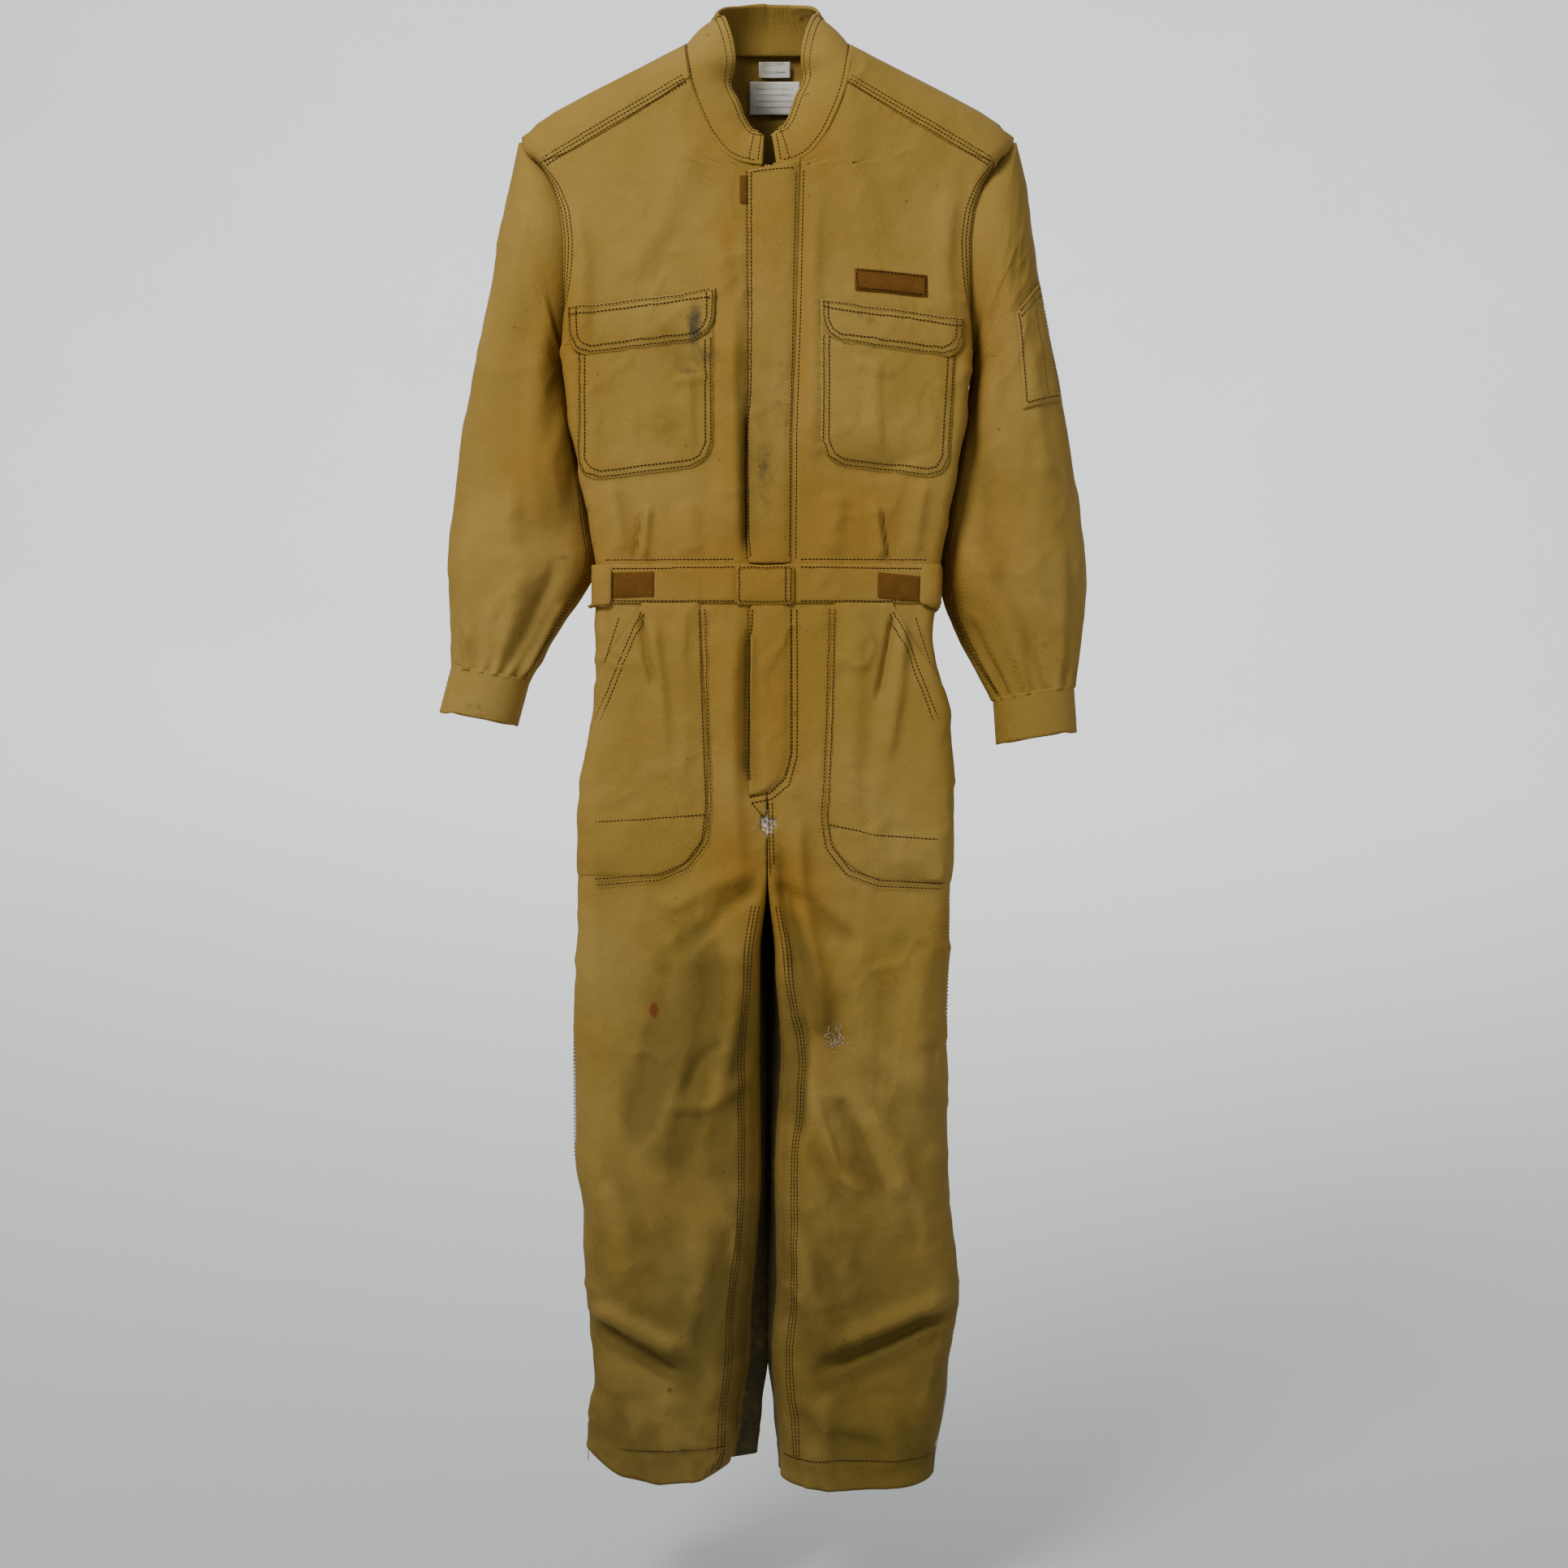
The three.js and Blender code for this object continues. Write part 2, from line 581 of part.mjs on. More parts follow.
// Placket and fly share one section: a flat flap with a thicker root stitched to the left front.
const flapBack = bodyFrontY - 1.2; // clears the slider's front
const flapFront = flapBack - cloth;
const rootBack = bodyFrontY - 0.3;
function closureFlap(bottom, top) {
  const section = new THREE.Shape();
  section.moveTo(placketLeft, flapFront);
  section.lineTo(placketRight, flapFront);
  section.lineTo(placketRight, rootBack);
  section.lineTo(placketRight - placketRoot, rootBack);
  section.lineTo(placketRight - placketRoot, flapBack);
  section.lineTo(placketLeft, flapBack);
  section.closePath();
  const geometry = new THREE.ExtrudeGeometry(section, { depth: top - bottom, bevelEnabled: false });
  return geometry.translate(0, 0, bottom);
}

const tab = { left: -31.5, right: 31, root: 6 };
function beltTab() {
  const section = new THREE.Shape();
  section.moveTo(tab.left, flapFront);
  section.lineTo(tab.right, flapFront);
  section.lineTo(tab.right, flapBack);
  section.lineTo(tab.left + tab.root, flapBack);
  section.lineTo(tab.left + tab.root, rootBack);
  section.lineTo(tab.left, rootBack);
  section.closePath();
  const depth = waistDepth - 3;
  const geometry = new THREE.ExtrudeGeometry(section, { depth, bevelEnabled: false });
  return geometry.translate(0, 0, waistBottom + 1.5);
}

const padBack = bodyFrontY - 0.3;
function bodyPad(x0, x1, z0, z1) {
  return plate(plateShape(x0, x1, z0, z1), padBack - padThickness, padThickness);
}

// The waist tab lies on the band's own slope, and slides in along it.
const waistTab = { from: 157, to: 177, lift: 1.4 };
const waistPad = { from: 115, to: 161 };
function waistPlate(from, to, lift, thickness, inset, freeSide) {
  const middle = (waistPad.from + waistTab.to) / 2;
  const slope = Math.atan(2 * crown * middle);
  const shape = plateShape(from - middle, to - middle, waistBottom + inset, waistTop - inset, freeSide);
  const geometry = plate(shape, -lift - thickness, thickness);
  geometry.rotateZ(slope);
  return geometry.translate(middle, faceY(middle), 0);
}

// --- Zip ---

const teeth = { inner: 0.7, outer: 2.5, front: bodyFrontY + 1.1, thickness: 3 };
const tape = { inner: 2.8, outer: 17, front: bodyFrontY + cloth + 0.4, thickness: 0.8 };
const slider = { halfWidth: 4.5, height: 12, plate: 1.1, web: 0.8, top: zipTop - 3 };

function zipTeeth() {
  return plate(plateShape(teeth.inner, teeth.outer, zipBottom, zipTop), teeth.front, teeth.thickness);
}
function zipTape() {
  return plate(plateShape(tape.inner, tape.outer, zipBottom, zipTop - 2), tape.front, tape.thickness);
}
function zipStop() {
  return plate(plateShape(-3, 3, zipBottom - 5, zipBottom - 0.4), teeth.front, teeth.thickness);
}

// Front and back plates with a thin web between them, which runs between the two rows of teeth.
function zipSlider() {
  const clear = 0.4;
  const front = teeth.front - clear;
  const back = teeth.front + teeth.thickness + clear;
  const half = slider.halfWidth;
  const web = slider.web / 2;
  const section = new THREE.Shape();
  section.moveTo(-half, front - slider.plate);
  section.lineTo(half, front - slider.plate);
  section.lineTo(half, front);
  section.lineTo(web, front);
  section.lineTo(web, back);
  section.lineTo(half, back);
  section.lineTo(half, back + slider.plate);
  section.lineTo(-half, back + slider.plate);
  section.lineTo(-half, back);
  section.lineTo(-web, back);
  section.lineTo(-web, front);
  section.lineTo(-half, front);
  section.closePath();
  const geometry = new THREE.ExtrudeGeometry(section, { depth: slider.height, bevelEnabled: false });
  return geometry.translate(0, 0, slider.top - slider.height);
}

// --- Neck labels, inside the back ---

function neckLabel(halfWidth, top, height) {
  const surface = (a, b) => {
    const z = lerp(top - height, top, b);
    return bodyPoint(-a * halfWidth, z, 1);
  };
  return sheet(surface, evenSteps(4, -1, 1), [0, 0.5, 1], { lift: -cloth - 1.8, thick: 0.6 });
}

addPair("front_panel", frontPanel(), "cotton");
add("back_panel", backPanel(), "cotton");
add("shoulder_yoke", shoulderYoke(), "cotton");
add("collar", collar(), "cotton");
addPair("front_waistband", waistbandFront(), "cotton");
add("back_waistband", waistbandBack(), "cotton");
addPair("hip_front", hipPanel(-1), "cotton");
addPair("hip_back", hipPanel(1), "cotton");
addPair("leg_front", legPanel(-1), "cotton");
addPair("leg_back", legPanel(1), "cotton");
addPair("leg_hem", legHem(), "cotton");
addPair("sleeve", sleeve(), "cotton");
addPair("cuff", cuff(), "cotton");
addPair("cuff_tab", cuffTab(), "cotton");
add("pen_pocket", penPocket(), "cotton");
addPair("chest_pocket", chestPocket(), "cotton");
addPair("pocket_flap", chestFlap(), "cotton");
addPair("thigh_pocket", thighPocket(), "cotton");
addPair("seat_pocket", seatPocket(), "cotton");
add("name_patch", namePatchSolid(), "hookAndLoop");
add("storm_placket", closureFlap(waistTop + 1, placketTop), "cotton");
add("fly_placket", closureFlap(zipBottom + 4, waistBottom - 1), "cotton");
add("belt_tab", beltTab(), "cotton");
add("belt_tab_pad", bodyPad(10, 28, waistBottom + 6, waistTop - 6), "hookAndLoop");
add("placket_pad", bodyPad(-27, -10, -192, -163), "hookAndLoop");
addPair("waist_pad", waistPlate(waistPad.from, waistPad.to, 0.3, padThickness, 8, 0), "hookAndLoop");
addPair("waist_tab", waistPlate(waistTab.from, waistTab.to, waistTab.lift, patchCloth, 1, -1), "cotton");
addPair("zip_tape", zipTape(), "zipTape");
addPair("zip_teeth", zipTeeth(), "brass");
add("zip_bottom_stop", zipStop(), "brass");
add("zip_slider", zipSlider(), "brass");
add("size_label", neckLabel(17, -6, 16), "label");
add("neck_label", neckLabel(27, -26, 36), "label");

export default coverall;
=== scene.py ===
import math

import bmesh
import bpy
import numpy as np
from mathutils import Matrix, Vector


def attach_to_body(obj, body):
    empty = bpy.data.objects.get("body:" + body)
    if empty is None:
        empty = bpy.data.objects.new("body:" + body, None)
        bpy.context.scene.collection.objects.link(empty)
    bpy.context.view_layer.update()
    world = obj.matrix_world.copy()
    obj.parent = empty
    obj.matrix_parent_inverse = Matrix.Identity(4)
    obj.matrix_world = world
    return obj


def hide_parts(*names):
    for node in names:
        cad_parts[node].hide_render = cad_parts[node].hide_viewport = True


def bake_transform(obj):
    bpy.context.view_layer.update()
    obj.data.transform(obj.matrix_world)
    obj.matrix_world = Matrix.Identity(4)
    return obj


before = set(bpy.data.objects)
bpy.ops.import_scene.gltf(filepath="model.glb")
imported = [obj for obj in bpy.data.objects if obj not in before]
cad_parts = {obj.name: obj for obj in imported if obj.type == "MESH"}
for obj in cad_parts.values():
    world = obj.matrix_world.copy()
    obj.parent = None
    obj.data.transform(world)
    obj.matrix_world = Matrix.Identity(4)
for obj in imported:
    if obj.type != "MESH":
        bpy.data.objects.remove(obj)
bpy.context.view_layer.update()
mm = 0.001  # every size below is in millimetres until a mesh is made

# small numeric helpers


def smooth(t):
    t = np.clip(t, 0, 1)
    return t * t * (3 - 2 * t)


def mix(a, b, t):
    return a + (b - a) * t


def eased(stops):
    # stops run from the top down
    def at(z):
        z = np.asarray(z, float)
        value = np.full_like(z, stops[0][1])
        for (z0, v0), (z1, v1) in zip(stops, stops[1:]):
            value = value + (v1 - v0) * smooth((z - z0) / (z1 - z0))
        return value
    return at


def lattice(x, y, seed):
    # soft random values from -1 to 1 that change over one unit
    grid = np.random.RandomState(seed).uniform(-1, 1, (64, 64))
    xi, yi = np.floor(x).astype(int), np.floor(y).astype(int)
    fx, fy = smooth(x - xi), smooth(y - yi)
    def g(i, j):
        return grid[(xi + i) % 64, (yi + j) % 64]
    return mix(mix(g(0, 0), g(1, 0), fx), mix(g(0, 1), g(1, 1), fx), fy)


def clouds(x, y, scale, seed, octaves=3):
    total, size = 0.0, 1.0
    for k in range(octaves):
        xs, ys = x / scale * 2 ** k + 17.3 * k, y / scale * 2 ** k + 9.1 * k
        total = total + lattice(xs, ys, seed + k) * size
        size *= 0.5
    return total


def lineDistance(x, z, points):
    # distance to a line of points, signed by the side, and how far along it as a share
    best = np.full(np.shape(x), 1e9)
    side, along = np.zeros(np.shape(x)), np.zeros(np.shape(x))
    lengths = [math.dist(p, q) for p, q in zip(points, points[1:])]
    total, run = sum(lengths), 0.0
    for (x0, z0), (x1, z1), length in zip(points, points[1:], lengths):
        dx, dz = (x1 - x0) / length, (z1 - z0) / length
        t = np.clip((x - x0) * dx + (z - z0) * dz, 0, length)
        away = np.hypot(x - x0 - t * dx, z - z0 - t * dz)
        near = away < best
        best = np.where(near, away, best)
        side = np.where(near, np.sign((x - x0) * dz - (z - z0) * dx), side)
        along = np.where(near, (run + t) / total, along)
        run += length
    return best, side, along


def folds(x, z, lines):
    # each fold is (points, soft width, sharp width, height)
    total = np.zeros(np.shape(x))
    for points, wide, narrow, height in lines:
        away, side, along = lineDistance(x, z, points)
        width = np.where(side > 0, wide, narrow)
        ends = smooth(along * 5) * smooth((1 - along) * 5)
        total = total + height * np.exp(-(away / width) ** 2) * (0.15 + 0.85 * ends)
    return total


# the garment's shape

shape = {
    "seamY": -50, "frontDepth": 68, "backDepth": 58, "crown": 0.0002, "corner": 14, "shoulderRound": 60,
    "shoulderTip": (257, -112), "underarm": (212, -335), "armholeDepth": 56,
    "waistTop": -557, "waistBottom": -598, "crotch": -881, "hem": -1500, "neckFront": -148, "neckBowl": -88,
    "yokeNeck": (78, -64), "yokeArm": -150, "yokeBack": -140,
}
bodyWidth = eased([(-335, 212), (-400, 205), (-461, 194), (-510, 184), (-557, 178), (-598, 178)])
trouserOuter = {
    1: eased([(-598, 173), (-630, 171), (-710, 186), (-790, 190), (-925, 189), (-1060, 186), (-1190,
                                                                                              187),
                                                                                              (-1312, 198),
              (-1400, 187), (-1500, 173)]),
    -1: eased([(-598, 178), (-700, 177), (-790, 192), (-925, 195), (-1060, 202), (-1160, 201), (-1225, 191),
               (-1400, 180), (-1457, 187), (-1500, 187)]),
}
trouserInner = {
    1: eased([(-881, 0.6), (-960, 9), (-1060, 16), (-1180, 9), (-1300, 11), (-1375, 5), (-1500, 14)]),
    -1: eased([(-881, 0.6), (-960, 9), (-1060, 10), (-1180, 8), (-1360, 22), (-1460, 32), (-1500, 40)]),
}
backInner = eased([(-881, 0.1), (-920, -0.5), (-1380, -0.5), (-1440, 6), (-1500, 12)])
outerCorner = eased([(-598, 14), (-881, 22), (-1080, 42), (-1500, 44)])
innerCorner = eased([(-870, 0.2), (-900, 10), (-1080, 38), (-1500, 42)])
trouserFront = eased([(-881, 68), (-1100, 62), (-1500, 50)])
trouserBack = eased([(-881, 58), (-1100, 56), (-1500, 48)])
hemLine = {1: -1503, -1: -1494}
hemSag = {1: [(14, 4), (60, -2), (120, -1), (172, 5)], -1: [(-186, 24), (-150, 6), (-112, -3), (-70, 0),
                                                            (-36, 11)]}


def ridgeZ(x):
    return np.interp(x, [0, 15, 30, 45, 60, 75, 85, 134, 180, 220, 240, 257],
                     [27, 26.4, 23, 16.5, 8, -3, -11, -36, -59, -80, -93, -112])


armhole = [(-335, 211), (-290, 208.5), (-225, 208.5), (-195, 212), (-170, 220), (-150, 231), (-130, 248),
           (-112, 257)]


def armholeX(z):
    return np.interp(z, [p[0] for p in armhole], [p[1] for p in armhole])


def armholeReach(z):
    top, low = shape["shoulderTip"][1], shape["underarm"][1]
    middle, half = (top + low) / 2, (top - low) / 2
    return shape["armholeDepth"] * np.sqrt(np.maximum(0, 1 - ((z - middle) / half) ** 2))


def bodySection(z, side):
    depth = shape["frontDepth"] if side < 0 else shape["backDepth"]
    r, crown = shape["corner"], shape["crown"]
    above = z > shape["underarm"][1]
    width0 = bodyWidth(z)
    flat0 = width0 - r
    end0 = flat0 + (math.pi / 2 - 1) * r + depth - crown * flat0 ** 2
    edge = armholeX(z)
    drop = np.maximum(0, depth - crown * edge ** 2 - armholeReach(z))
    turn = np.arccos(np.clip(1 - drop / r, 0, 1))
    width1 = edge + r * (1 - np.sin(turn))
    end1 = width1 - r + turn * r + np.maximum(0, drop - r)
    return np.where(above, width1, width0), depth, np.where(above, end1, end0)


def bodyPoint(u, z, side):
    # u is the arc length from the middle; negative u is the wearer's right
    width, depth, end = bodySection(z, side)
    r, crown = shape["corner"], shape["crown"]
    flat, across = width - r, np.abs(u)
    turn = np.clip((across - flat) / r, 0, math.pi / 2)
    down = np.maximum(0, across - flat - math.pi / 2 * r)
    x = np.where(across > flat, flat + r * np.sin(turn), across)
    reach = depth - crown * np.minimum(across, flat) ** 2 - r * (1 - np.cos(turn)) - down
    below = np.clip((ridgeZ(x) - z) / shape["shoulderRound"], 0, 1)
    reach = reach * np.sqrt(1 - (1 - below) ** 2)
    return np.stack([np.sign(u) * x, shape["seamY"] + side * reach, z + 0 * x], -1)


def trouserPoint(share, z, s, side):
    # share runs from the inseam or the centre seam to the outseam, round both corners
    outer, ro, ri = trouserOuter[s](z), outerCorner(z), innerCorner(z)
    inner = trouserInner[s](z) if side < 0 else backInner(z)
    depth = trouserFront(z) if side < 0 else trouserBack(z)
    crown = shape["crown"] * np.clip((z + 1300) / 400, 0, 1)
    sideLength = depth - crown * (outer - ro) ** 2 - ro
    parts = [ri * math.pi / 2, outer - ro - inner - ri, ro * math.pi / 2, sideLength]
    run = share * sum(parts)
    t1 = np.clip(run / ri, 0, math.pi / 2)
    flatRun = np.clip(run - parts[0], 0, parts[1])
    t2 = np.clip((run - parts[0] - parts[1]) / ro, 0, math.pi / 2)
    down = np.clip(run - parts[0] - parts[1] - parts[2], 0, parts[3])
    x = inner + ri * (1 - np.cos(t1)) + flatRun + ro * np.sin(t2)
    xFlat = np.clip(x, inner + ri, outer - ro)
    reach = depth - crown * xFlat ** 2 - ri * (1 - np.sin(t1)) - ro * (1 - np.cos(t2)) - down
    return np.stack([s * x, shape["seamY"] + side * reach, z + 0 * x], -1), sum(parts) - run, run


sleeveOuterX = {1: [260, 272, 281, 293, 307, 319, 329, 335, 331, 321],
                -1: [260, 272, 283, 295, 310, 322, 330, 335, 333, 332]}
sleeveOuterZ = {1: [-110, -165, -225, -290, -360, -430, -500, -560, -620, -681],
                -1: [-110, -165, -225, -290, -360, -430, -500, -560, -612, -660]}
sleeveInnerX = {1: [212, 212.5, 212, 211, 205.5, 195.5, 185.2, 179.6, 194, 236],
                -1: [212, 212.5, 212, 211, 205.5, 195.5, 185.2, 180.6, 212, 250]}
sleeveInnerZ = {1: [-335, -341, -348, -362, -400, -455, -510, -562, -622, -695],
                -1: [-335, -341, -348, -362, -400, -455, -510, -558, -612, -676]}
sleeveDepth = eased([(0, 56), (-0.35, 48), (-0.75, 50), (-1, 34)])


def curve(values, t):
    # a smooth line through evenly spaced values
    v = np.asarray(values, float)
    t = np.clip(t, 0, 1) * (len(v) - 1)
    i = np.clip(np.floor(t).astype(int), 0, len(v) - 2)
    f = t - i
    p0, p1, p2, p3 = v[np.maximum(i - 1, 0)], v[i], v[i + 1], v[np.minimum(i + 2, len(v) - 1)]
    return 0.5 * (2 * p1 + (p2 - p0) * f + (2 * p0 - 5 * p1 + 4 * p2 - p3) * f ** 2
                  + (3 * p1 - p0 - 3 * p2 + p3) * f ** 3)


def sleevePoint(turn, t, s):
    # turn goes once round from the outer edge by the front; t runs from the armhole to the cuff seam
    ox, oz = curve(sleeveOuterX[s], t), curve(sleeveOuterZ[s], t)
    ix, iz = curve(sleeveInnerX[s], t), curve(sleeveInnerZ[s], t)
    a = 2 * math.pi * turn
    c = np.cos(a)
    x = (ox + ix) / 2 + (ox - ix) / 2 * c
    z = (oz + iz) / 2 + (oz - iz) / 2 * c
    return np.stack([s * x, shape["seamY"] - sleeveDepth(-t) * np.sin(a), z], -1)


# folds and creases

frontFolds = [
    # beside the placket, the wearer's right front stands up in a ridge over a deep crease
    ([(-34, -300), (-35, -400), (-33, -480), (-30, -552)], 16, 9, 8),
    ([(-21.5, -390), (-22, -460), (-21.5, -554)], 3.5, 5, -7),
    ([(-48, -215), (-40, -300), (-36, -400)], 22, 14, 3.5),
    ([(-16, -610), (-19, -700), (-20, -790)], 8, 5, -5),
    ([(-32, -610), (-36, -700), (-34, -800), (-28, -880)], 16, 10, 6),
    # drag lines from the neck and shoulders
    ([(-70, -120), (-100, -200), (-150, -280)], 20, 13, 3),
    ([(75, -110), (100, -180), (115, -240)], 18, 12, 2.5),
    ([(190, -170), (180, -250), (188, -330)], 15, 9, 4),
    ([(-200, -190), (-186, -250), (-190, -340)], 15, 9, 4),
    ([(52, -170), (46, -260), (48, -380), (40, -470)], 14, 9, 3.5),
    # creases across the chest pockets
    ([(-78, -360), (-80, -410), (-76, -446)], 9, 5, 2.6), ([(-96, -372), (-60, -366)], 6, 4, 2.2),
    ([(112, -345), (110, -400), (114, -450)], 9, 5, 2.6), ([(88, -352), (132, -366)], 6, 4, 2),
    ([(165, -440), (120, -462), (60, -455)], 9, 7, -2),
    # pleats above and below the waistband
    ([(-127, -500), (-134, -556)], 3, 1.6, -4), ([(-120, -494), (-126, -556)], 9, 4, 4.5),
    ([(115, -498), (124, -556)], 1.6, 3, -4), ([(108, -494), (116, -556)], 5, 9, 4.5),
    ([(-128, -604), (-122, -650), (-112, -690)], 4, 3, -5.5),
    ([(-118, -606), (-108, -680), (-102, -760)], 12, 7, 5),
    ([(129, -604), (122, -650), (112, -700)], 4, 3, -5.5),
    ([(138, -606), (134, -680), (120, -760)], 12, 7, 5),
    ([(-160, -470), (-150, -520), (-146, -552)], 12, 7, 3.5),
    ([(160, -470), (152, -520), (150, -552)], 12, 7, 3.5), ([(-80, -490), (-74, -552)], 14, 9, 3),
    ([(72, -480), (68, -552)], 14, 9, 3), ([(-90, -610), (-84, -700), (-88, -800)], 15, 10, 2.5),
    ([(92, -610), (90, -720), (86, -810)], 15, 10, 2.5),
    # the crotch
    ([(0, -880), (-40, -905), (-95, -960)], 12, 7, -4),
    ([(-6, -868), (-50, -880), (-110, -915)], 14, 8, 3.5),
    ([(2, -880), (38, -900), (100, -950)], 12, 7, -4),
    ([(30, -800), (34, -880), (52, -980), (58, -1060)], 13, 8, 6),
    ([(14, -840), (20, -900), (36, -990)], 9, 6, -5),
    # the right leg, down to the shin
    ([(-64, -905), (-84, -1010), (-104, -1120), (-112, -1210)], 26, 15, 7),
    ([(-96, -930), (-120, -1040), (-134, -1150)], 20, 13, -5),
    ([(-30, -920), (-36, -1020), (-52, -1120)], 16, 10, 5),
    ([(-20, -1080), (-60, -1110), (-104, -1110)], 12, 7, 3.5),
    ([(-40, -1040), (-66, -1062), (-84, -1100)], 7, 5, -3),
    ([(-176, -1330), (-140, -1354), (-86, -1386)], 11, 5, -8),
    ([(-180, -1312), (-136, -1332), (-80, -1358)], 15, 8, 7),
    ([(-170, -1180), (-150, -1240), (-140, -1300)], 18, 12, 4.5),
    ([(-60, -1200), (-70, -1290), (-92, -1380)], 20, 13, 5), ([(-100, -1400), (-92, -1470)], 22, 14, 3.5),
    ([(-150, -1400), (-152, -1480)], 14, 9, -3),
    # the left leg
    ([(46, -1090), (64, -1150), (102, -1215)], 12, 6, 6),
    ([(70, -1090), (96, -1150), (124, -1215)], 12, 7, -5.5),
    ([(100, -1110), (128, -1160), (140, -1212)], 14, 9, 5),
    ([(62, -1130), (72, -1180), (110, -1200)], 6, 4, 3),
    ([(36, -1010), (34, -1090), (28, -1150)], 10, 7, -4.5),
    ([(186, -1324), (120, -1354), (48, -1386)], 12, 5, -8),
    ([(190, -1304), (130, -1330), (52, -1362)], 16, 8, 7),
    ([(160, -930), (150, -1030), (160, -1110)], 18, 12, 4.5),
    ([(90, -930), (104, -1010), (100, -1080)], 20, 13, 4),
    ([(30, -1230), (44, -1300), (70, -1370)], 14, 9, 4),
    ([(20, -1420), (60, -1450), (130, -1462)], 16, 10, -3.5), ([(120, -1400), (128, -1490)], 22, 14, 3.5),
    ([(60, -1400), (58, -1490)], 16, 10, 3),
]
backFolds = [
    ([(0, -180), (0, -330), (6, -545)], 22, 16, 5), ([(-70, -200), (-60, -360), (-66, -545)], 20, 14, 4),
    ([(74, -200), (66, -350), (72, -545)], 20, 14, 4),
    ([(-150, -300), (-120, -430), (-118, -550)], 18, 10, 5),
    ([(150, -300), (124, -430), (120, -550)], 18, 10, 5), ([(-190, -360), (-140, -440)], 12, 7, -4),
    ([(190, -360), (140, -440)], 12, 7, -4), ([(-100, -604), (-96, -720)], 9, 6, 4),
    ([(100, -604), (98, -720)], 9, 6, 4), ([(0, -870), (-60, -900), (-120, -930)], 14, 8, -5),
    ([(0, -870), (60, -900), (120, -930)], 14, 8, -5), ([(-10, -840), (-60, -866), (-130, -880)], 15, 9, 5),
    ([(10, -840), (60, -866), (130, -880)], 15, 9, 5),
    ([(-80, -950), (-90, -1150), (-100, -1480)], 26, 16, 6),
    ([(90, -950), (96, -1150), (96, -1490)], 26, 16, 6),
    ([(-180, -1100), (-110, -1140), (-30, -1120)], 12, 8, -5),
    ([(180, -1090), (110, -1140), (30, -1120)], 12, 8, -5),
    ([(-180, -1340), (-100, -1370), (-50, -1350)], 13, 8, -5),
    ([(180, -1340), (100, -1376), (30, -1350)], 13, 8, -5),
]
# these seams also get painted shade along them, in paint()
seamLines = [  # puckered seams in the front: yoke, pocket edges, placket, band
    ([(58, -75), (251, -148)], 7), ([(-58, -75), (-251, -148)], 7), ([(-19, -157), (-19, -556)], 4),
    ([(54, -294), (54, -450)], 5), ([(-54, -294), (-54, -450)], 5), ([(80, -466), (165, -474)], 5),
    ([(-80, -466), (-165, -474)], 5), ([(192, -330), (184, -452)], 5), ([(-192, -330), (-184, -452)], 5),
    ([(-180, -557), (180, -557)], 5), ([(-180, -598), (180, -598)], 5), ([(66, -600), (60, -815)], 6),
    ([(-66, -600), (-60, -815)], 6), ([(185, -1478), (14, -1484)], 7), ([(-185, -1462), (-40, -1462)], 7),
]


def pucker(x, z):
    total = np.zeros(np.shape(x))
    for points, width in seamLines:
        away, _, along = lineDistance(x, z, points)
        length = math.dist(points[0], points[-1])
        shift = 3 * lattice(along * length / 30, away * 0 + 0.5, 71)
        wave = np.sin(along * length / 13 * 2 * math.pi + shift)
        uneven = 0.6 + 0.4 * lattice(along * 9, away * 0, 5)
        total = total + np.exp(-(away / width) ** 2) * (0.55 * wave * uneven - 0.5)
    return total


def wrinkles(x, z, seed, amount=1.0):
    # small crumples, mostly upright, over the whole cloth
    warp = clouds(x, z, 90, seed + 40) * 26
    lines = clouds(x + warp, z * 0.42 + warp * 0.5, 34, seed)
    ridged = 1 - np.abs(clouds(x * 0.9 + warp, z * 0.55 - warp, 62, seed + 9))
    crisp = 0.45 * clouds(x + warp * 0.3, z, 15, seed + 60, 2)
    ridges = np.clip(ridged, 0, 1) ** 3 - 0.4
    broad = clouds(x, z * 0.6, 130, seed + 20, 2)
    return amount * (crisp + 0.8 * lines + 2.4 * ridges + 2.2 * broad)


def frontRelief(x, z):
    calm = 0.8 + 0.35 * smooth((-z - 480) / 400)
    return 1.35 * folds(x, z, frontFolds) + pucker(x, z) + wrinkles(x, z, 3, calm)


def backRelief(x, z):
    return 1.2 * folds(x, z, backFolds) + wrinkles(x + 700, z, 5)


def normals(p):
    # unit normals of a grid of points [along, across, 3], outwards where across x along is
    across, along = np.gradient(p, axis=1), np.gradient(p, axis=0)
    n = np.cross(across, along)
    return n / np.maximum(np.linalg.norm(n, axis=-1, keepdims=True), 1e-9)


def steps(start, end, size):
    count = max(2, int(round(abs(end - start) / size)))
    return np.linspace(start, end, count + 1)


# shaders


class Sock:
    # a socket in a material, for writing sums as expressions

    def __init__(self, nodes, socket):
        self.nodes, self.socket = nodes, socket

    def math(self, operation, *others, swap=False):
        terms = [self, *others]
        if swap:
            terms[0], terms[1] = terms[1], terms[0]
        return self.nodes.add("ShaderNodeMath", {"operation": operation}, dict(enumerate(terms)))

    def __add__(self, other):
        return self.math("ADD", other)

    def __radd__(self, other):
        return self.math("ADD", other)

    def __sub__(self, other):
        return self.math("SUBTRACT", other)

    def __rsub__(self, other):
        return self.math("SUBTRACT", other, swap=True)

    def __mul__(self, other):
        return self.math("MULTIPLY", other)

    def __rmul__(self, other):
        return self.math("MULTIPLY", other)

    def __pow__(self, other):
        return self.math("POWER", other)


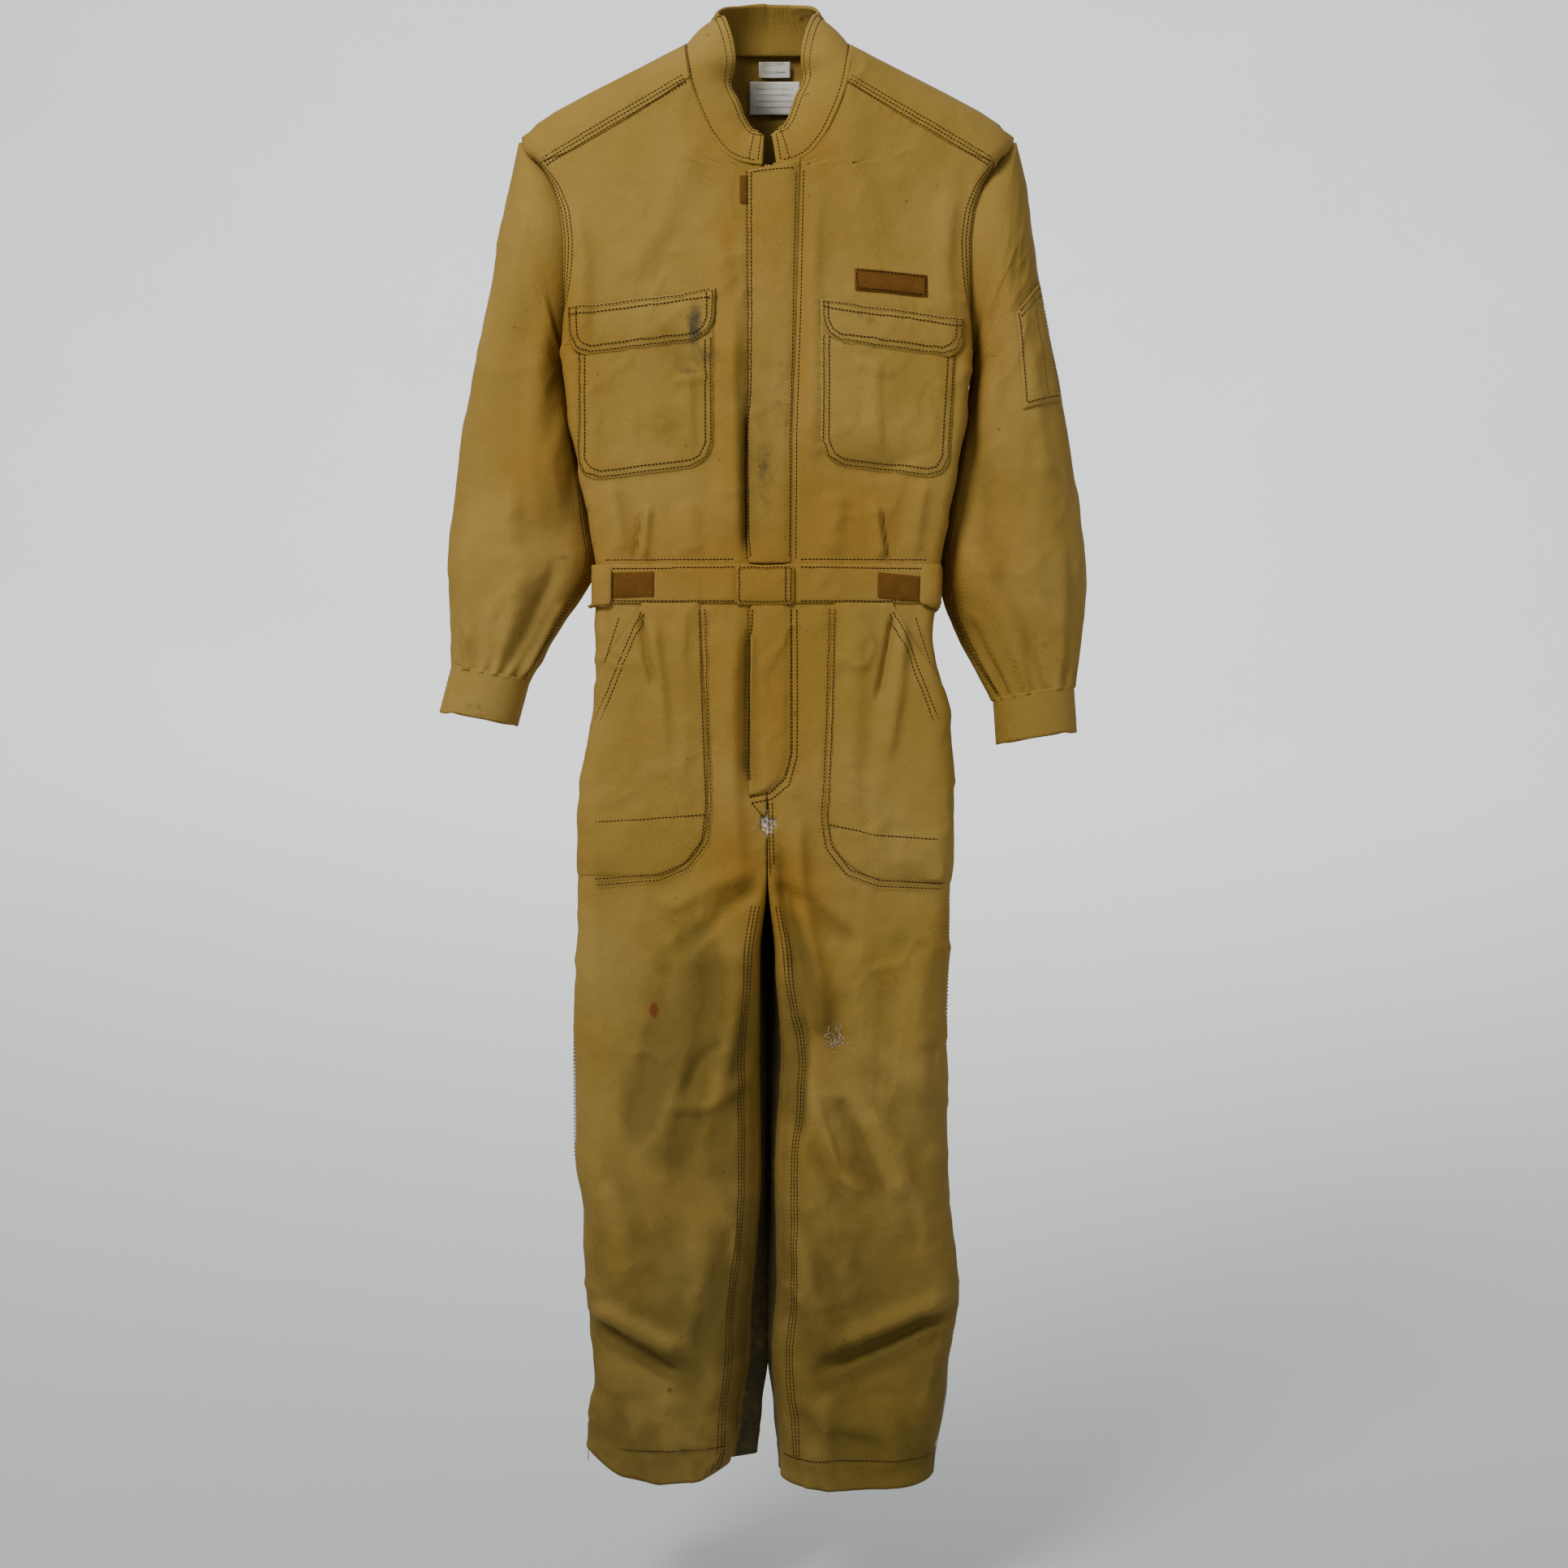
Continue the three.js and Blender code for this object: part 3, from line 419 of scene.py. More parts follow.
class Nodes:
    def __init__(self, name):
        self.material = bpy.data.materials.new(name)
        self.material.use_nodes = True
        self.tree = self.material.node_tree
        self.shader = self.tree.nodes["Principled BSDF"]

    def add(self, kind, settings=None, values=None, out=0):
        node = self.tree.nodes.new(kind)
        for key, value in (settings or {}).items():
            if key == "stops":
                ramp = node.color_ramp
                while len(ramp.elements) < len(value):
                    ramp.elements.new(0.5)
                for element, (place, shade) in zip(ramp.elements, value):
                    element.position = place
                    element.color = (shade, shade, shade, 1) if np.isscalar(shade) else (*shade, 1)
            else:
                setattr(node, key, value)
        for key, value in (values or {}).items():
            self.set(node.inputs[key], value)
        return Sock(self, node.outputs[out])

    def set(self, socket, value):
        if isinstance(value, Sock):
            self.tree.links.new(value.socket, socket)
        elif isinstance(value, (tuple, list)) and len(value) == 3 and socket.type == "RGBA":
            socket.default_value = (*value, 1)
        else:
            socket.default_value = value

    def blend(self, factor, a, b, mode="MIX"):
        node = self.tree.nodes.new("ShaderNodeMix")
        node.data_type, node.blend_type = "RGBA", mode
        self.set(node.inputs[0], factor)
        self.set(node.inputs[6], a)
        self.set(node.inputs[7], b)
        return Sock(self, node.outputs[2])

    def painted(self, name):
        return self.add("ShaderNodeAttribute", {"attribute_name": name}, out=2)

    def place(self):
        return self.add("ShaderNodeAttribute", {"attribute_name": "place"}, out=1)

    def noise(self, place, scale, detail=3, roughness=0.55):
        return self.add("ShaderNodeTexNoise", {}, {"Vector": place, "Scale": scale, "Detail": detail,
                                                   "Roughness": roughness})

    def ramp(self, value, low, high):
        return self.add("ShaderNodeMapRange", {"interpolation_type": "SMOOTHSTEP"},
                        {"Value": value, "From Min": low, "From Max": high})

    def finish(self, **values):
        for key, value in values.items():
            self.set(self.shader.inputs[key.replace("_", " ")], value)
        return self.material


def srgb(*rgb):
    return tuple(((c / 255 + 0.055) / 1.055) ** 2.4 if c > 10 else c / 255 / 12.92 for c in rgb)


cottonLook = {
    "cloth": srgb(153, 121, 50), "faded": srgb(165, 134, 66), "golden": srgb(152, 106, 30),
    "olive": srgb(100, 84, 33), "oil": srgb(46, 48, 40), "dirt": srgb(62, 46, 18), "rust": srgb(112, 44,
                                                                                                22),
    "shade": (0.45, 0.5, 0.5), "weave": 1500, "slub": 420, "bump": 0.6,
}


def cottonMaterial(name):
    n = Nodes(name)
    look = cottonLook
    place = n.place()
    broad = n.noise(place, 5.5, 4)
    patchy = n.noise(place, 24, 5, 0.62)
    fine = n.noise(place, 140, 3)
    colour = n.blend(n.ramp(broad, 0.35, 0.7), look["cloth"], look["faded"])
    colour = n.blend(n.painted("golden") * 0.8, colour, look["golden"])
    colour = n.blend(n.ramp(patchy, 0.5, 0.78) * 0.22, colour, look["golden"])
    olive = n.ramp(n.painted("olive") + (patchy - 0.5) * 0.7, 0.15, 0.95)
    colour = n.blend(olive * 0.62, colour, look["olive"])
    colour = n.blend(n.painted("shade"), colour, look["shade"], "MULTIPLY")
    # dirt, and painted shade in creases, pleats and along seams
    dirt = n.ramp(n.painted("dirt") + (fine - 0.5) * 0.8 + (patchy - 0.5) * 0.6, 0.3, 1.05)
    colour = n.blend(dirt * 0.7, colour, look["dirt"])
    # oil stains, and painted shade on the inner sides of the legs
    oil = n.ramp(n.painted("oil") + (fine - 0.5) * 0.9 + (patchy - 0.5) * 0.7, 0.25, 1.0)
    colour = n.blend(oil * 0.8, colour, look["oil"])
    rust = n.ramp(n.painted("rust") + (fine - 0.5) * 0.8, 0.4, 0.9)
    colour = n.blend(rust * 0.75, colour, look["rust"])
    speck = n.ramp(n.noise(place, 95, 2, 0.5), 0.72, 0.76) * n.ramp(patchy, 0.52, 0.6)
    colour = n.blend(speck * 0.55, colour, look["dirt"])
    twill = n.add("ShaderNodeTexWave", {"bands_direction": "DIAGONAL"},
                  {"Vector": place, "Scale": look["weave"] / 6.28, "Distortion": 1.5, "Detail": 1.0,
                   "Detail Scale": 1.2}, out=1)
    slub = n.noise(place, look["slub"], 2)
    shade = n.blend(1.0, colour, n.add("ShaderNodeValToRGB", {"stops": [(0.2, 0.78), (0.8, 1.0)]},
                                       {0: slub * 0.6 + twill * 0.4}), "MULTIPLY")
    height = twill * 0.25 + slub * 0.4 + fine * 1.2
    bump = n.add("ShaderNodeBump", {}, {"Strength": look["bump"], "Distance": 0.0006, "Height": height})
    return n.finish(Base_Color=shade, Roughness=0.86 - 0.22 * oil, Normal=bump, Specular_IOR_Level=0.15)


def threadMaterial():
    n = Nodes("darkThread")
    worn = n.noise(n.place(), 60, 3)
    colour = n.blend(n.ramp(worn, 0.42, 0.72), srgb(40, 24, 6), srgb(70, 45, 14))
    return n.finish(Base_Color=colour, Roughness=0.75, Specular_IOR_Level=0.15)


def pileMaterial():
    n = Nodes("hookAndLoopPile")
    place = n.place()
    pile = n.noise(place, 900, 3, 0.7)
    broad = n.noise(place, 60, 3)
    colour = n.blend(n.ramp(broad, 0.35, 0.7), srgb(128, 88, 34), srgb(142, 102, 46))
    colour = n.blend(n.ramp(pile, 0.35, 0.7) * 0.5, srgb(96, 62, 20), colour)
    bump = n.add("ShaderNodeBump", {}, {"Strength": 0.9, "Distance": 0.0012, "Height": pile})
    return n.finish(Base_Color=colour, Roughness=0.95, Normal=bump, Specular_IOR_Level=0.1)


def labelMaterial():
    n = Nodes("labelSatin")
    place = n.place()
    colour = n.blend(n.ramp(n.noise(place, 70, 4), 0.4, 0.75), srgb(226, 222, 210), srgb(200, 190, 165))
    weave = n.noise(place, 1400, 2)
    bump = n.add("ShaderNodeBump", {}, {"Strength": 0.3, "Distance": 0.0004, "Height": weave})
    return n.finish(Base_Color=colour, Roughness=0.55, Normal=bump, Sheen_Weight=0.3)


def linenMaterial():
    n = Nodes("paleLining")
    place = n.place()
    colour = n.blend(n.ramp(n.noise(place, 300, 4), 0.4, 0.65), srgb(206, 196, 178), srgb(150, 120, 78))
    grain = n.noise(place, 900, 3)
    bump = n.add("ShaderNodeBump", {}, {"Strength": 0.6, "Distance": 0.0006, "Height": grain})
    return n.finish(Base_Color=colour, Roughness=0.9, Normal=bump)


def metalMaterial():
    n = Nodes("wornBrass")
    place = n.place()
    dull = n.noise(place, 220, 4)
    colour = n.blend(n.ramp(dull, 0.35, 0.7), srgb(176, 142, 78), srgb(104, 82, 48))
    return n.finish(Base_Color=colour, Roughness=0.32 + 0.3 * dull, Metallic=1.0)


def backdropMaterial():
    n = Nodes("paleBackdrop")
    where = n.add("ShaderNodeNewGeometry", {}, {}, out=0)
    colour = n.blend(n.noise(where, 1.4, 4), srgb(226, 226, 227), srgb(217, 218, 220))
    # painted shade: the backdrop darker towards the floor
    height = n.add("ShaderNodeSeparateXYZ", {}, {"Vector": where}, out=2)
    colour = n.blend(n.ramp(height, -1.9, -0.5), srgb(176, 178, 176), colour)
    return n.finish(Base_Color=colour, Roughness=0.9)


cotton = cottonMaterial("mustardTwill")
thread = threadMaterial()
pile = pileMaterial()
satin = labelMaterial()
brass = metalMaterial()
print("materials made")

# stains and painted shade, in the front view

stainsAndShade = {  # places, half width, half height, strength
    "oil": [
        ((-74, -318), 8, 24, 1.1), ((-66, -345), 20, 14, 0.6), ((-82, -362), 14, 8, 0.5),
        ((94, -306), 7, 5, 0.55), ((104, -312), 6, 6, 0.5), ((-2, -470), 12, 60, 0.5),
        ((12, -380), 10, 50, 0.35), ((300, -655), 30, 14, 0.35), ((285, -640), 22, 22, 0.3),
        ((-300, -700), 30, 9, 0.4), ((-212, -548), 10, 5, 0.6), ((-184, -500), 6, 8, 0.6),
        ((20, -420), 8, 40, 0.35), ((5, -300), 9, 50, 0.22), ((284, -590), 26, 18, 0.25),
    ],
    "olive": [
        ((-170, -880), 20, 30, 0.35), ((150, -870), 26, 24, 0.45), ((140, -940), 30, 12, 0.45),
        ((-60, -1300), 50, 70, 0.35), ((80, -1280), 60, 70, 0.3), ((150, -1120), 30, 40, 0.35),
        ((-8, -440), 20, 90, 0.5), ((108, -440), 40, 24, 0.5), ((-320, -640), 40, 40, 0.3),
        ((300, -560), 26, 50, 0.35), ((-240, -620), 22, 50, 0.35), ((-90, -345), 50, 40, 0.4),
        ((-150, -1460), 40, 30, 0.4), ((110, -1460), 60, 30, 0.35), ((30, -260), 20, 60, 0.2),
        ((-90, -420), 30, 30, 0.3), ((225, -500), 14, 70, 0.45), ((-228, -480), 12, 70, 0.35),
        ((-70, -1130), 40, 60, 0.3),
    ],
    "dirt": [
        ((-20, -600), 60, 5, 0.25), ((70, -1040), 12, 12, 0.5), ((-196, -505), 5, 12, 0.6),
        ((-100, -1400), 3, 4, 0.9), ((-104, -985), 3, 3, 0.9), ((-150, -1120), 6, 14, 0.5),
        ((-46, -1060), 6, 16, 0.5), ((10, -860), 10, 40, 0.5), ((-300, -712), 40, 6, 0.6),
        ((285, -735), 40, 6, 0.6), ((-330, -700), 8, 8, 0.5), ((-114, -232), 1.5, 1.5, 0.9),
        ((-130, -213), 1.5, 1.5, 0.8), ((60, -1125), 3, 3, 0.8), ((-44, -865), 3, 3, 0.6),
    ],
    "rust": [
        ((-116, -1012), 6, 10, 1.2), ((60, -1036), 4, 4, 0.7), ((-20, -1066), 14, 5, 0.5),
        ((66, -1044), 5, 8, 0.6),
    ],
    "shade": [],
    "golden": [
        ((-60, -560), 130, 60, 0.6), ((90, -520), 100, 60, 0.5), ((0, -700), 60, 130, 0.5),
        ((20, -900), 40, 70, 0.9), ((-30, -860), 26, 60, 0.8), ((-210, -330), 26, 80, 0.6),
        ((216, -330), 24, 90, 0.6), ((0, -240), 30, 80, 0.3), ((-180, -560), 30, 80, 0.6),
        ((185, -560), 30, 60, 0.6), ((-230, -470), 40, 60, 0.5), ((230, -540), 30, 80, 0.5),
        ((50, -1000), 24, 80, 0.6), ((-50, -130), 26, 30, 0.4), ((45, -130), 26, 30, 0.4),
    ],
}
streaks = {  # points, half width, strength
    "olive": [
        ([(-62, -905), (-84, -990), (-112, -1080), (-138, -1160)], 24, 0.85),
        ([(-40, -930), (-58, -1030), (-84, -1120), (-118, -1190)], 24, 0.8),
        ([(-28, -1000), (-40, -1100), (-60, -1200)], 18, 0.6),
        ([(-180, -1338), (-130, -1360), (-60, -1392)], 12, 0.95),
        ([(-110, -1300), (-60, -1340), (-30, -1380)], 22, 0.5),
        ([(18, -900), (40, -960), (60, -1050)], 13, 0.9), ([(30, -930), (30, -1060), (26, -1140)], 14, 0.8),
        ([(44, -1398), (110, -1370), (182, -1334)], 11, 1.0),
        ([(30, -1300), (60, -1345), (80, -1370)], 22, 0.4), ([(-16, -380), (-18, -560)], 14, 0.5),
        ([(-14, -610), (-14, -800)], 8, 0.5), ([(100, -960), (96, -1060)], 14, 0.3),
    ],
    # painted shade: thin dark lines in the creases, the pleats and the slit beside the placket
    "dirt": [
        ([(-20.8, -392), (-21.2, -470), (-20.6, -557)], 1.7, 1.3), ([(-21.5, -600), (-22, -790)], 1.8, 1.0),
        ([(-70, -905), (-100, -1000), (-135, -1100), (-158, -1168)], 3.5, 0.45),
        ([(-150, -1050), (-100, -1068), (-56, -1070)], 2, 0.5), ([(-130, -1040), (-96, -1060)], 2, 0.4),
        ([(-128, -500), (-134, -556)], 1.6, 0.9), ([(115, -498), (123, -556)], 1.6, 0.9),
        ([(-128, -604), (-120, -660)], 1.6, 0.8), ([(129, -604), (120, -650)], 1.6, 0.8),
        ([(-84, -364), (-66, -362)], 1.5, 0.8), ([(-76, -366), (-79, -420)], 1.8, 0.6),
        ([(88, -354), (132, -358)], 1.6, 0.5), ([(110, -354), (111, -450)], 2.2, 0.5),
        ([(52, -1060), (76, -1130), (112, -1205)], 2, 0.5),
        ([(74, -1120), (104, -1180), (150, -1212)], 1.6, 0.5),
        ([(96, -1196), (140, -1206), (168, -1226)], 1.6, 0.45),
        ([(60, -1075), (110, -1110), (134, -1180)], 1.5, 0.4), ([(-6, -872), (-40, -890)], 2.5, 0.6),
        ([(4, -878), (30, -905)], 2.5, 0.6), ([(-2, -838), (4, -880)], 3, 0.6),
        ([(-180, -1336), (-140, -1352), (-90, -1378)], 3, 0.5),
        ([(60, -1392), (120, -1366), (180, -1336)], 3, 0.6),
    ],
    "golden": [
        ([(-40, -170), (-42, -300), (-38, -540)], 10, 0.6), ([(40, -170), (38, -300), (36, -540)], 8, 0.5),
    ],
}


def paint(p, facing):
    # the stains and painted shade at each point; facing is -1 for the front and +1 for the back
    x, z = p[..., 0], p[..., 2]
    out = {}
    for kind, blobs in stainsAndShade.items():
        total = np.zeros(x.shape)
        for (bx, bz), wide, tall, amount in blobs:
            total = np.maximum(total, amount * np.exp(-((x - bx) / wide) ** 2 - ((z - bz) / tall) ** 2))
        if facing < 0:
            for points, wide, amount in streaks.get(kind, []):
                away, _, along = lineDistance(x, z, points)
                ends = smooth(along * 6) * smooth((1 - along) * 6)
                total = np.maximum(total, amount * np.exp(-(away / wide) ** 2) * (0.1 + 0.9 * ends))
        if facing > 0:
            total = total * (0.0 if kind in ("rust", "oil") else 0.45)
        out[kind] = total
    if facing < 0:
        # painted shade: a thin dark line along each seam
        for points, _ in seamLines:
            away, _, _ = lineDistance(x, z, points)
            out["dirt"] = np.maximum(out["dirt"], 0.42 * np.exp(-(away / 1.6) ** 2))
    out["olive"] = out["olive"] + 0.1 + 0.42 * smooth((-z - 850) / 650)
    out["shade"] = 0.12 + 0.5 * smooth((-z - 780) / 700)
    return out


# making cloth pieces

made = {}


def store(mesh, name, kind, key, values):
    attribute = mesh.attributes.new(name, kind, "POINT")
    attribute.data.foreach_set(key, np.asarray(values, np.float32).ravel())


def meshFrom(name, grids, weld=True):
    # grids are dicts of points p [along, across, 3] and painted values
    points, faces, values, start = [], [], {k: [] for k in stainsAndShade}, 0
    for g in grids:
        p = g["p"]
        rows, columns = p.shape[:2]
        index = start + np.arange(rows * columns).reshape(rows, columns)
        corners = [index[:-1, :-1], index[:-1, 1:], index[1:, 1:], index[1:, :-1]]
        quads = np.stack(corners, -1).reshape(-1, 4)
        keep = g.get("keep")
        if keep is not None:
            quads = quads[(keep[:-1, :-1] & keep[1:, 1:] & keep[:-1, 1:] & keep[1:, :-1]).reshape(-1)]
        faces.append(quads)
        points.append(p.reshape(-1, 3))
        stain = g["stain"]
        for k in stainsAndShade:
            values[k].append(stain[k].reshape(-1))
        start += rows * columns
    points, faces = np.concatenate(points) * mm, np.concatenate(faces)
    mesh = bpy.data.meshes.new(name)
    mesh.from_pydata(points.tolist(), [], faces.tolist())
    for k in stainsAndShade:
        store(mesh, k, "FLOAT", "value", np.concatenate(values[k]))
    store(mesh, "place", "FLOAT_VECTOR", "vector", points)
    if weld:
        bm = bmesh.new()
        bm.from_mesh(mesh)
        bmesh.ops.remove_doubles(bm, verts=bm.verts, dist=0.00004)
        bmesh.ops.dissolve_degenerate(bm, dist=0.00001, edges=bm.edges)
        loose = [v for v in bm.verts if not v.link_faces]
        bmesh.ops.delete(bm, geom=loose, context="VERTS")
        bm.to_mesh(mesh)
        bm.free()
    mesh.update()
    mesh.shade_smooth()
    obj = bpy.data.objects.new(name, mesh)
    bpy.context.scene.collection.objects.link(obj)
    return obj


def flatSize(grids):
    # width, length and area of the cut cloth, from its grids, in metres
    g = max(grids, key=lambda g: g["p"].size)["p"]
    area = 0.0
    for one in grids:
        p = one["p"]
        a, b = p[1:, :-1] - p[:-1, :-1], p[:-1, 1:] - p[:-1, :-1]
        area += np.linalg.norm(np.cross(a, b), axis=-1).sum()
    width = np.linalg.norm(np.diff(g, axis=1), axis=-1).sum(1).max()
    length = np.linalg.norm(np.diff(g, axis=0), axis=-1).sum(0).max()
    stretch = max(1.0, area / (width * length))
    width, length = float(width * mm), float(length * mm * stretch) + 0.001
    return round(width, 3), round(length, 3), round(float(area) * mm * mm, 5)


sides = ((1, "left"), (-1, "right"))
bends, holders = {}, {}  # pieces that cross a joint share that joint's start and end
for s, word in sides:
    bends[word + "_sleeve"] = dict(start=(s * 0.214, -0.05, -0.335), end=(s * 0.318, -0.05, -0.40))
    hinge = 0.311 if s > 0 else 0.326  # the cuff tabs stay sewn at their outer ends
    bends[word + "_cuff_tab"] = dict(start=(s * hinge, -0.026, -0.70),
                                     end=(s * (hinge - 0.012), -0.026, -0.70))
    holders[word + "_cuff_tab"] = word + "_sleeve"
    bends[word + "_leg"] = dict(start=(s * 0.10, -0.05, -0.87), end=(s * 0.10, -0.05, -1.13))


def attach(obj, body):
    if body in bends:
        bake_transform(obj)
    else:
        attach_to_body(obj, body)


def cloth(name, grids, body, nodes=(), thick=1.2, material=None, weld=True):
    obj = meshFrom(name, grids, weld)
    obj.data.materials.append(material or cotton)
    shell = obj.modifiers.new("thickness", "SOLIDIFY")
    shell.thickness = thick * mm
    shell.offset = -1
    width, length, area = flatSize(grids)
    attach(obj, body)
    if nodes:
        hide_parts(*nodes)
    made[name] = obj
    return obj


def lifted(p, relief, lift):
    n = normals(p)
    return p + n * (relief + lift)[..., None]


def blurred(field, passes):
    out = field.copy()
    for _ in range(passes):
        out[1:-1] = (out[:-2] + 2 * out[1:-1] + out[2:]) / 4
        out[:, 1:-1] = (out[:, :-2] + 2 * out[:, 1:-1] + out[:, 2:]) / 4
    return out


def worn(p, relief, facing):
    # the stains, with painted shade in the creases: more olive and golden where the cloth is folded in and
    # less on the ridges
    out = paint(p, facing)
    hollow = blurred(relief, 24) - blurred(relief, 2)
    out["olive"] = np.clip(out["olive"] + 0.16 * np.clip(hollow, -1, 3), 0, 1.2)
    out["golden"] = np.clip(out["golden"] + 0.05 * np.clip(hollow, -2, 3), 0, 1.2)
    return out


stitchRows = {}  # body -> rows of points and normals


def stitch(body, points, normal):
    stitchRows.setdefault(body, []).append((np.asarray(points), np.asarray(normal)))


def sew(body, surface, line, rows=(0,)):
    # rows of stitches beside a line of (a, b) places on surface(a, b) -> point, normal
    line = np.asarray(line, float)
    fine = []
    for p, q in zip(line, line[1:]):
        count = max(2, int(np.hypot(*(q - p)) / 4))
        fine.append(p + (q - p) * np.linspace(0, 1, count, endpoint=False)[:, None])
    fine = np.concatenate([*fine, line[-1:]])
    tangent = np.gradient(fine, axis=0)
    tangent = tangent / np.linalg.norm(tangent, axis=1, keepdims=True)
    aside = np.stack([-tangent[:, 1], tangent[:, 0]], 1)
    for row in rows:
        where = fine + aside * row
        p, n = surface(where[:, 0], where[:, 1])
        stitch(body, p, n)


# surfaces used by layers and stitches


def frontSurface(lift):
    def at(x, z):
        x, z = np.asarray(x, float), np.asarray(z, float)
        def raw(x, z):
            low = z < shape["waistBottom"]
            upper = bodyPoint(x, np.maximum(z, shape["waistBottom"]), -1)
            s = np.where(x >= 0, 1, -1)
            depth = trouserFront(z)
            crown = shape["crown"] * np.clip((z + 1300) / 400, 0, 1)
            out = upper.copy()
            y = shape["seamY"] - (depth - crown * x ** 2)
            for sign in (1, -1):
                outer, inner = trouserOuter[sign](z), trouserInner[sign](z)
                ro, ri = outerCorner(z), innerCorner(z)
                ax = np.abs(x)
                dx = np.clip((ax - (outer - ro)) / ro, 0, 0.98)
                dn = np.clip(((inner + ri) - ax) / ri, 0, 0.98) * (z < -872)
                drop = ro * (1 - np.sqrt(1 - dx ** 2)) + ri * (1 - np.sqrt(1 - dn ** 2))
                y = np.where(s == sign, y + drop, y)
            out[..., 1] = np.where(low, y, upper[..., 1])
            out[..., 0] = np.where(low, x, upper[..., 0])
            out[..., 2] = z
            out[..., 1] -= frontRelief(x, z)
            return out
        p = raw(x, z)
        dx, dz = raw(x + 1, z) - p, raw(x, z + 1) - p
        n = np.cross(dx, dz)
        n = n / np.maximum(np.linalg.norm(n, axis=-1, keepdims=True), 1e-9)
        return p + n * lift, n
    return at


def plateGrid(x0, x1, z0, z1, surface, size=3.0, slope=0.0, corners=(0, 0, 0, 0), bulge=0.0, taper=0.0):
    # a patch of cloth on the front; corners are the radii at bottom left, bottom right, top left, top right
    bl, br, tl, tr = corners
    b = steps(z0, z1, size)
    b = np.unique(np.concatenate([b, z0 + np.array([0.3, 1, 2]), z1 - np.array([0.3, 1, 2])]))
    def cut(radius, above):
        above = np.clip(above, 0, radius)
        return radius - np.sqrt(np.maximum(0, radius ** 2 - (radius - above) ** 2)) if radius else 0 * above
    left = x0 + cut(bl, b - z0) + cut(tl, z1 - b)
    right = x1 - cut(br, b - z0) - cut(tr, z1 - b) - taper * (z1 - b)
    t = np.linspace(0, 1, int((x1 - x0) / size) + 1)
    x = left[:, None] + (right - left)[:, None] * t
    z = b[:, None] - slope * (x - x0)
    p, n = surface(x, z)
    edge = np.minimum(x - left[:, None], right[:, None] - x)
    edge = np.minimum(edge, np.minimum(b - z0, z1 - b)[:, None])
    turned = 0.9 * np.exp(-(np.maximum(edge, 0) / 2.2) ** 2)
    p = p + n * (bulge * smooth(edge / 18))[..., None] - n * turned[..., None]
    return {"p": p, "stain": paint(p, -1)}


print("surfaces ready")

# bodice

yokeEdgeX = armholeX(np.array(shape["yokeArm"])).item()


def yokeSeam(x):
    (x0, z0) = shape["yokeNeck"]
    return mix(z0, shape["yokeArm"], (x - x0) / (yokeEdgeX - x0))


neckEdge = [(-151, 0), (-150, 16), (-147, 25), (-139, 41), (-118, 57), (-90, 70), (-66, 78), (-32, 83.5),
            (-11, 85)]


def neckHalf(z):
    return np.interp(z, [p[0] for p in neckEdge], [p[1] for p in neckEdge])


def frontPanelGrid(s, size=3.2):
    # from the centre edge to the side seam, and from the waistband to just under the yoke seam
    b = np.linspace(0, 1, 150)
    a = np.linspace(0, 1, 74)
    col, row = np.meshgrid(a, b)
    top = np.full(col.shape, float(shape["yokeNeck"][1]))
    def place(z):
        start = np.maximum(5, neckHalf(z))
        end = bodySection(z, -1)[2]
        return start + (end - start) * col
    for _ in range(14):
        top = yokeSeam(np.abs(bodyPoint(place(top), top, -1)[..., 0])) + 5
    z = mix(shape["waistTop"] - 5.0, top, row)
    u = place(z)
    p = bodyPoint(s * u, z, -1)
    if s < 0:
        p = p[:, ::-1]
    x, zz = p[..., 0], p[..., 2]
    fade = smooth((bodySection(z, -1)[2] - u) / 24)
    if s < 0:
        fade = fade[:, ::-1]
    relief = frontRelief(x, zz) * fade
    return {"p": lifted(p, relief, 0.0), "stain": worn(p, relief, -1)}


def backPanelGrid():
    b, a = np.linspace(0, 1, 120), np.linspace(1, -1, 130)
    col, row = np.meshgrid(a, b)
    z = mix(shape["waistTop"] - 5.0, shape["yokeBack"] + 5.0, row)
    end = bodySection(z, 1)[2]
    p = bodyPoint(col * end, z, 1)
    fade = smooth((1 - np.abs(col)) * end / 24)
    relief = backRelief(p[..., 0], p[..., 2]) * fade
    return {"p": lifted(p, relief, 0.0), "stain": worn(p, relief, 1)}


def neckDrop(x):
    # how far the back neckline lies behind the shoulder ridge
    x = np.abs(x)
    return np.interp(x, [0, 15, 30, 45, 60, 75, 85], [25, 24.5, 21.9, 16.2, 10, 3.6, 0])


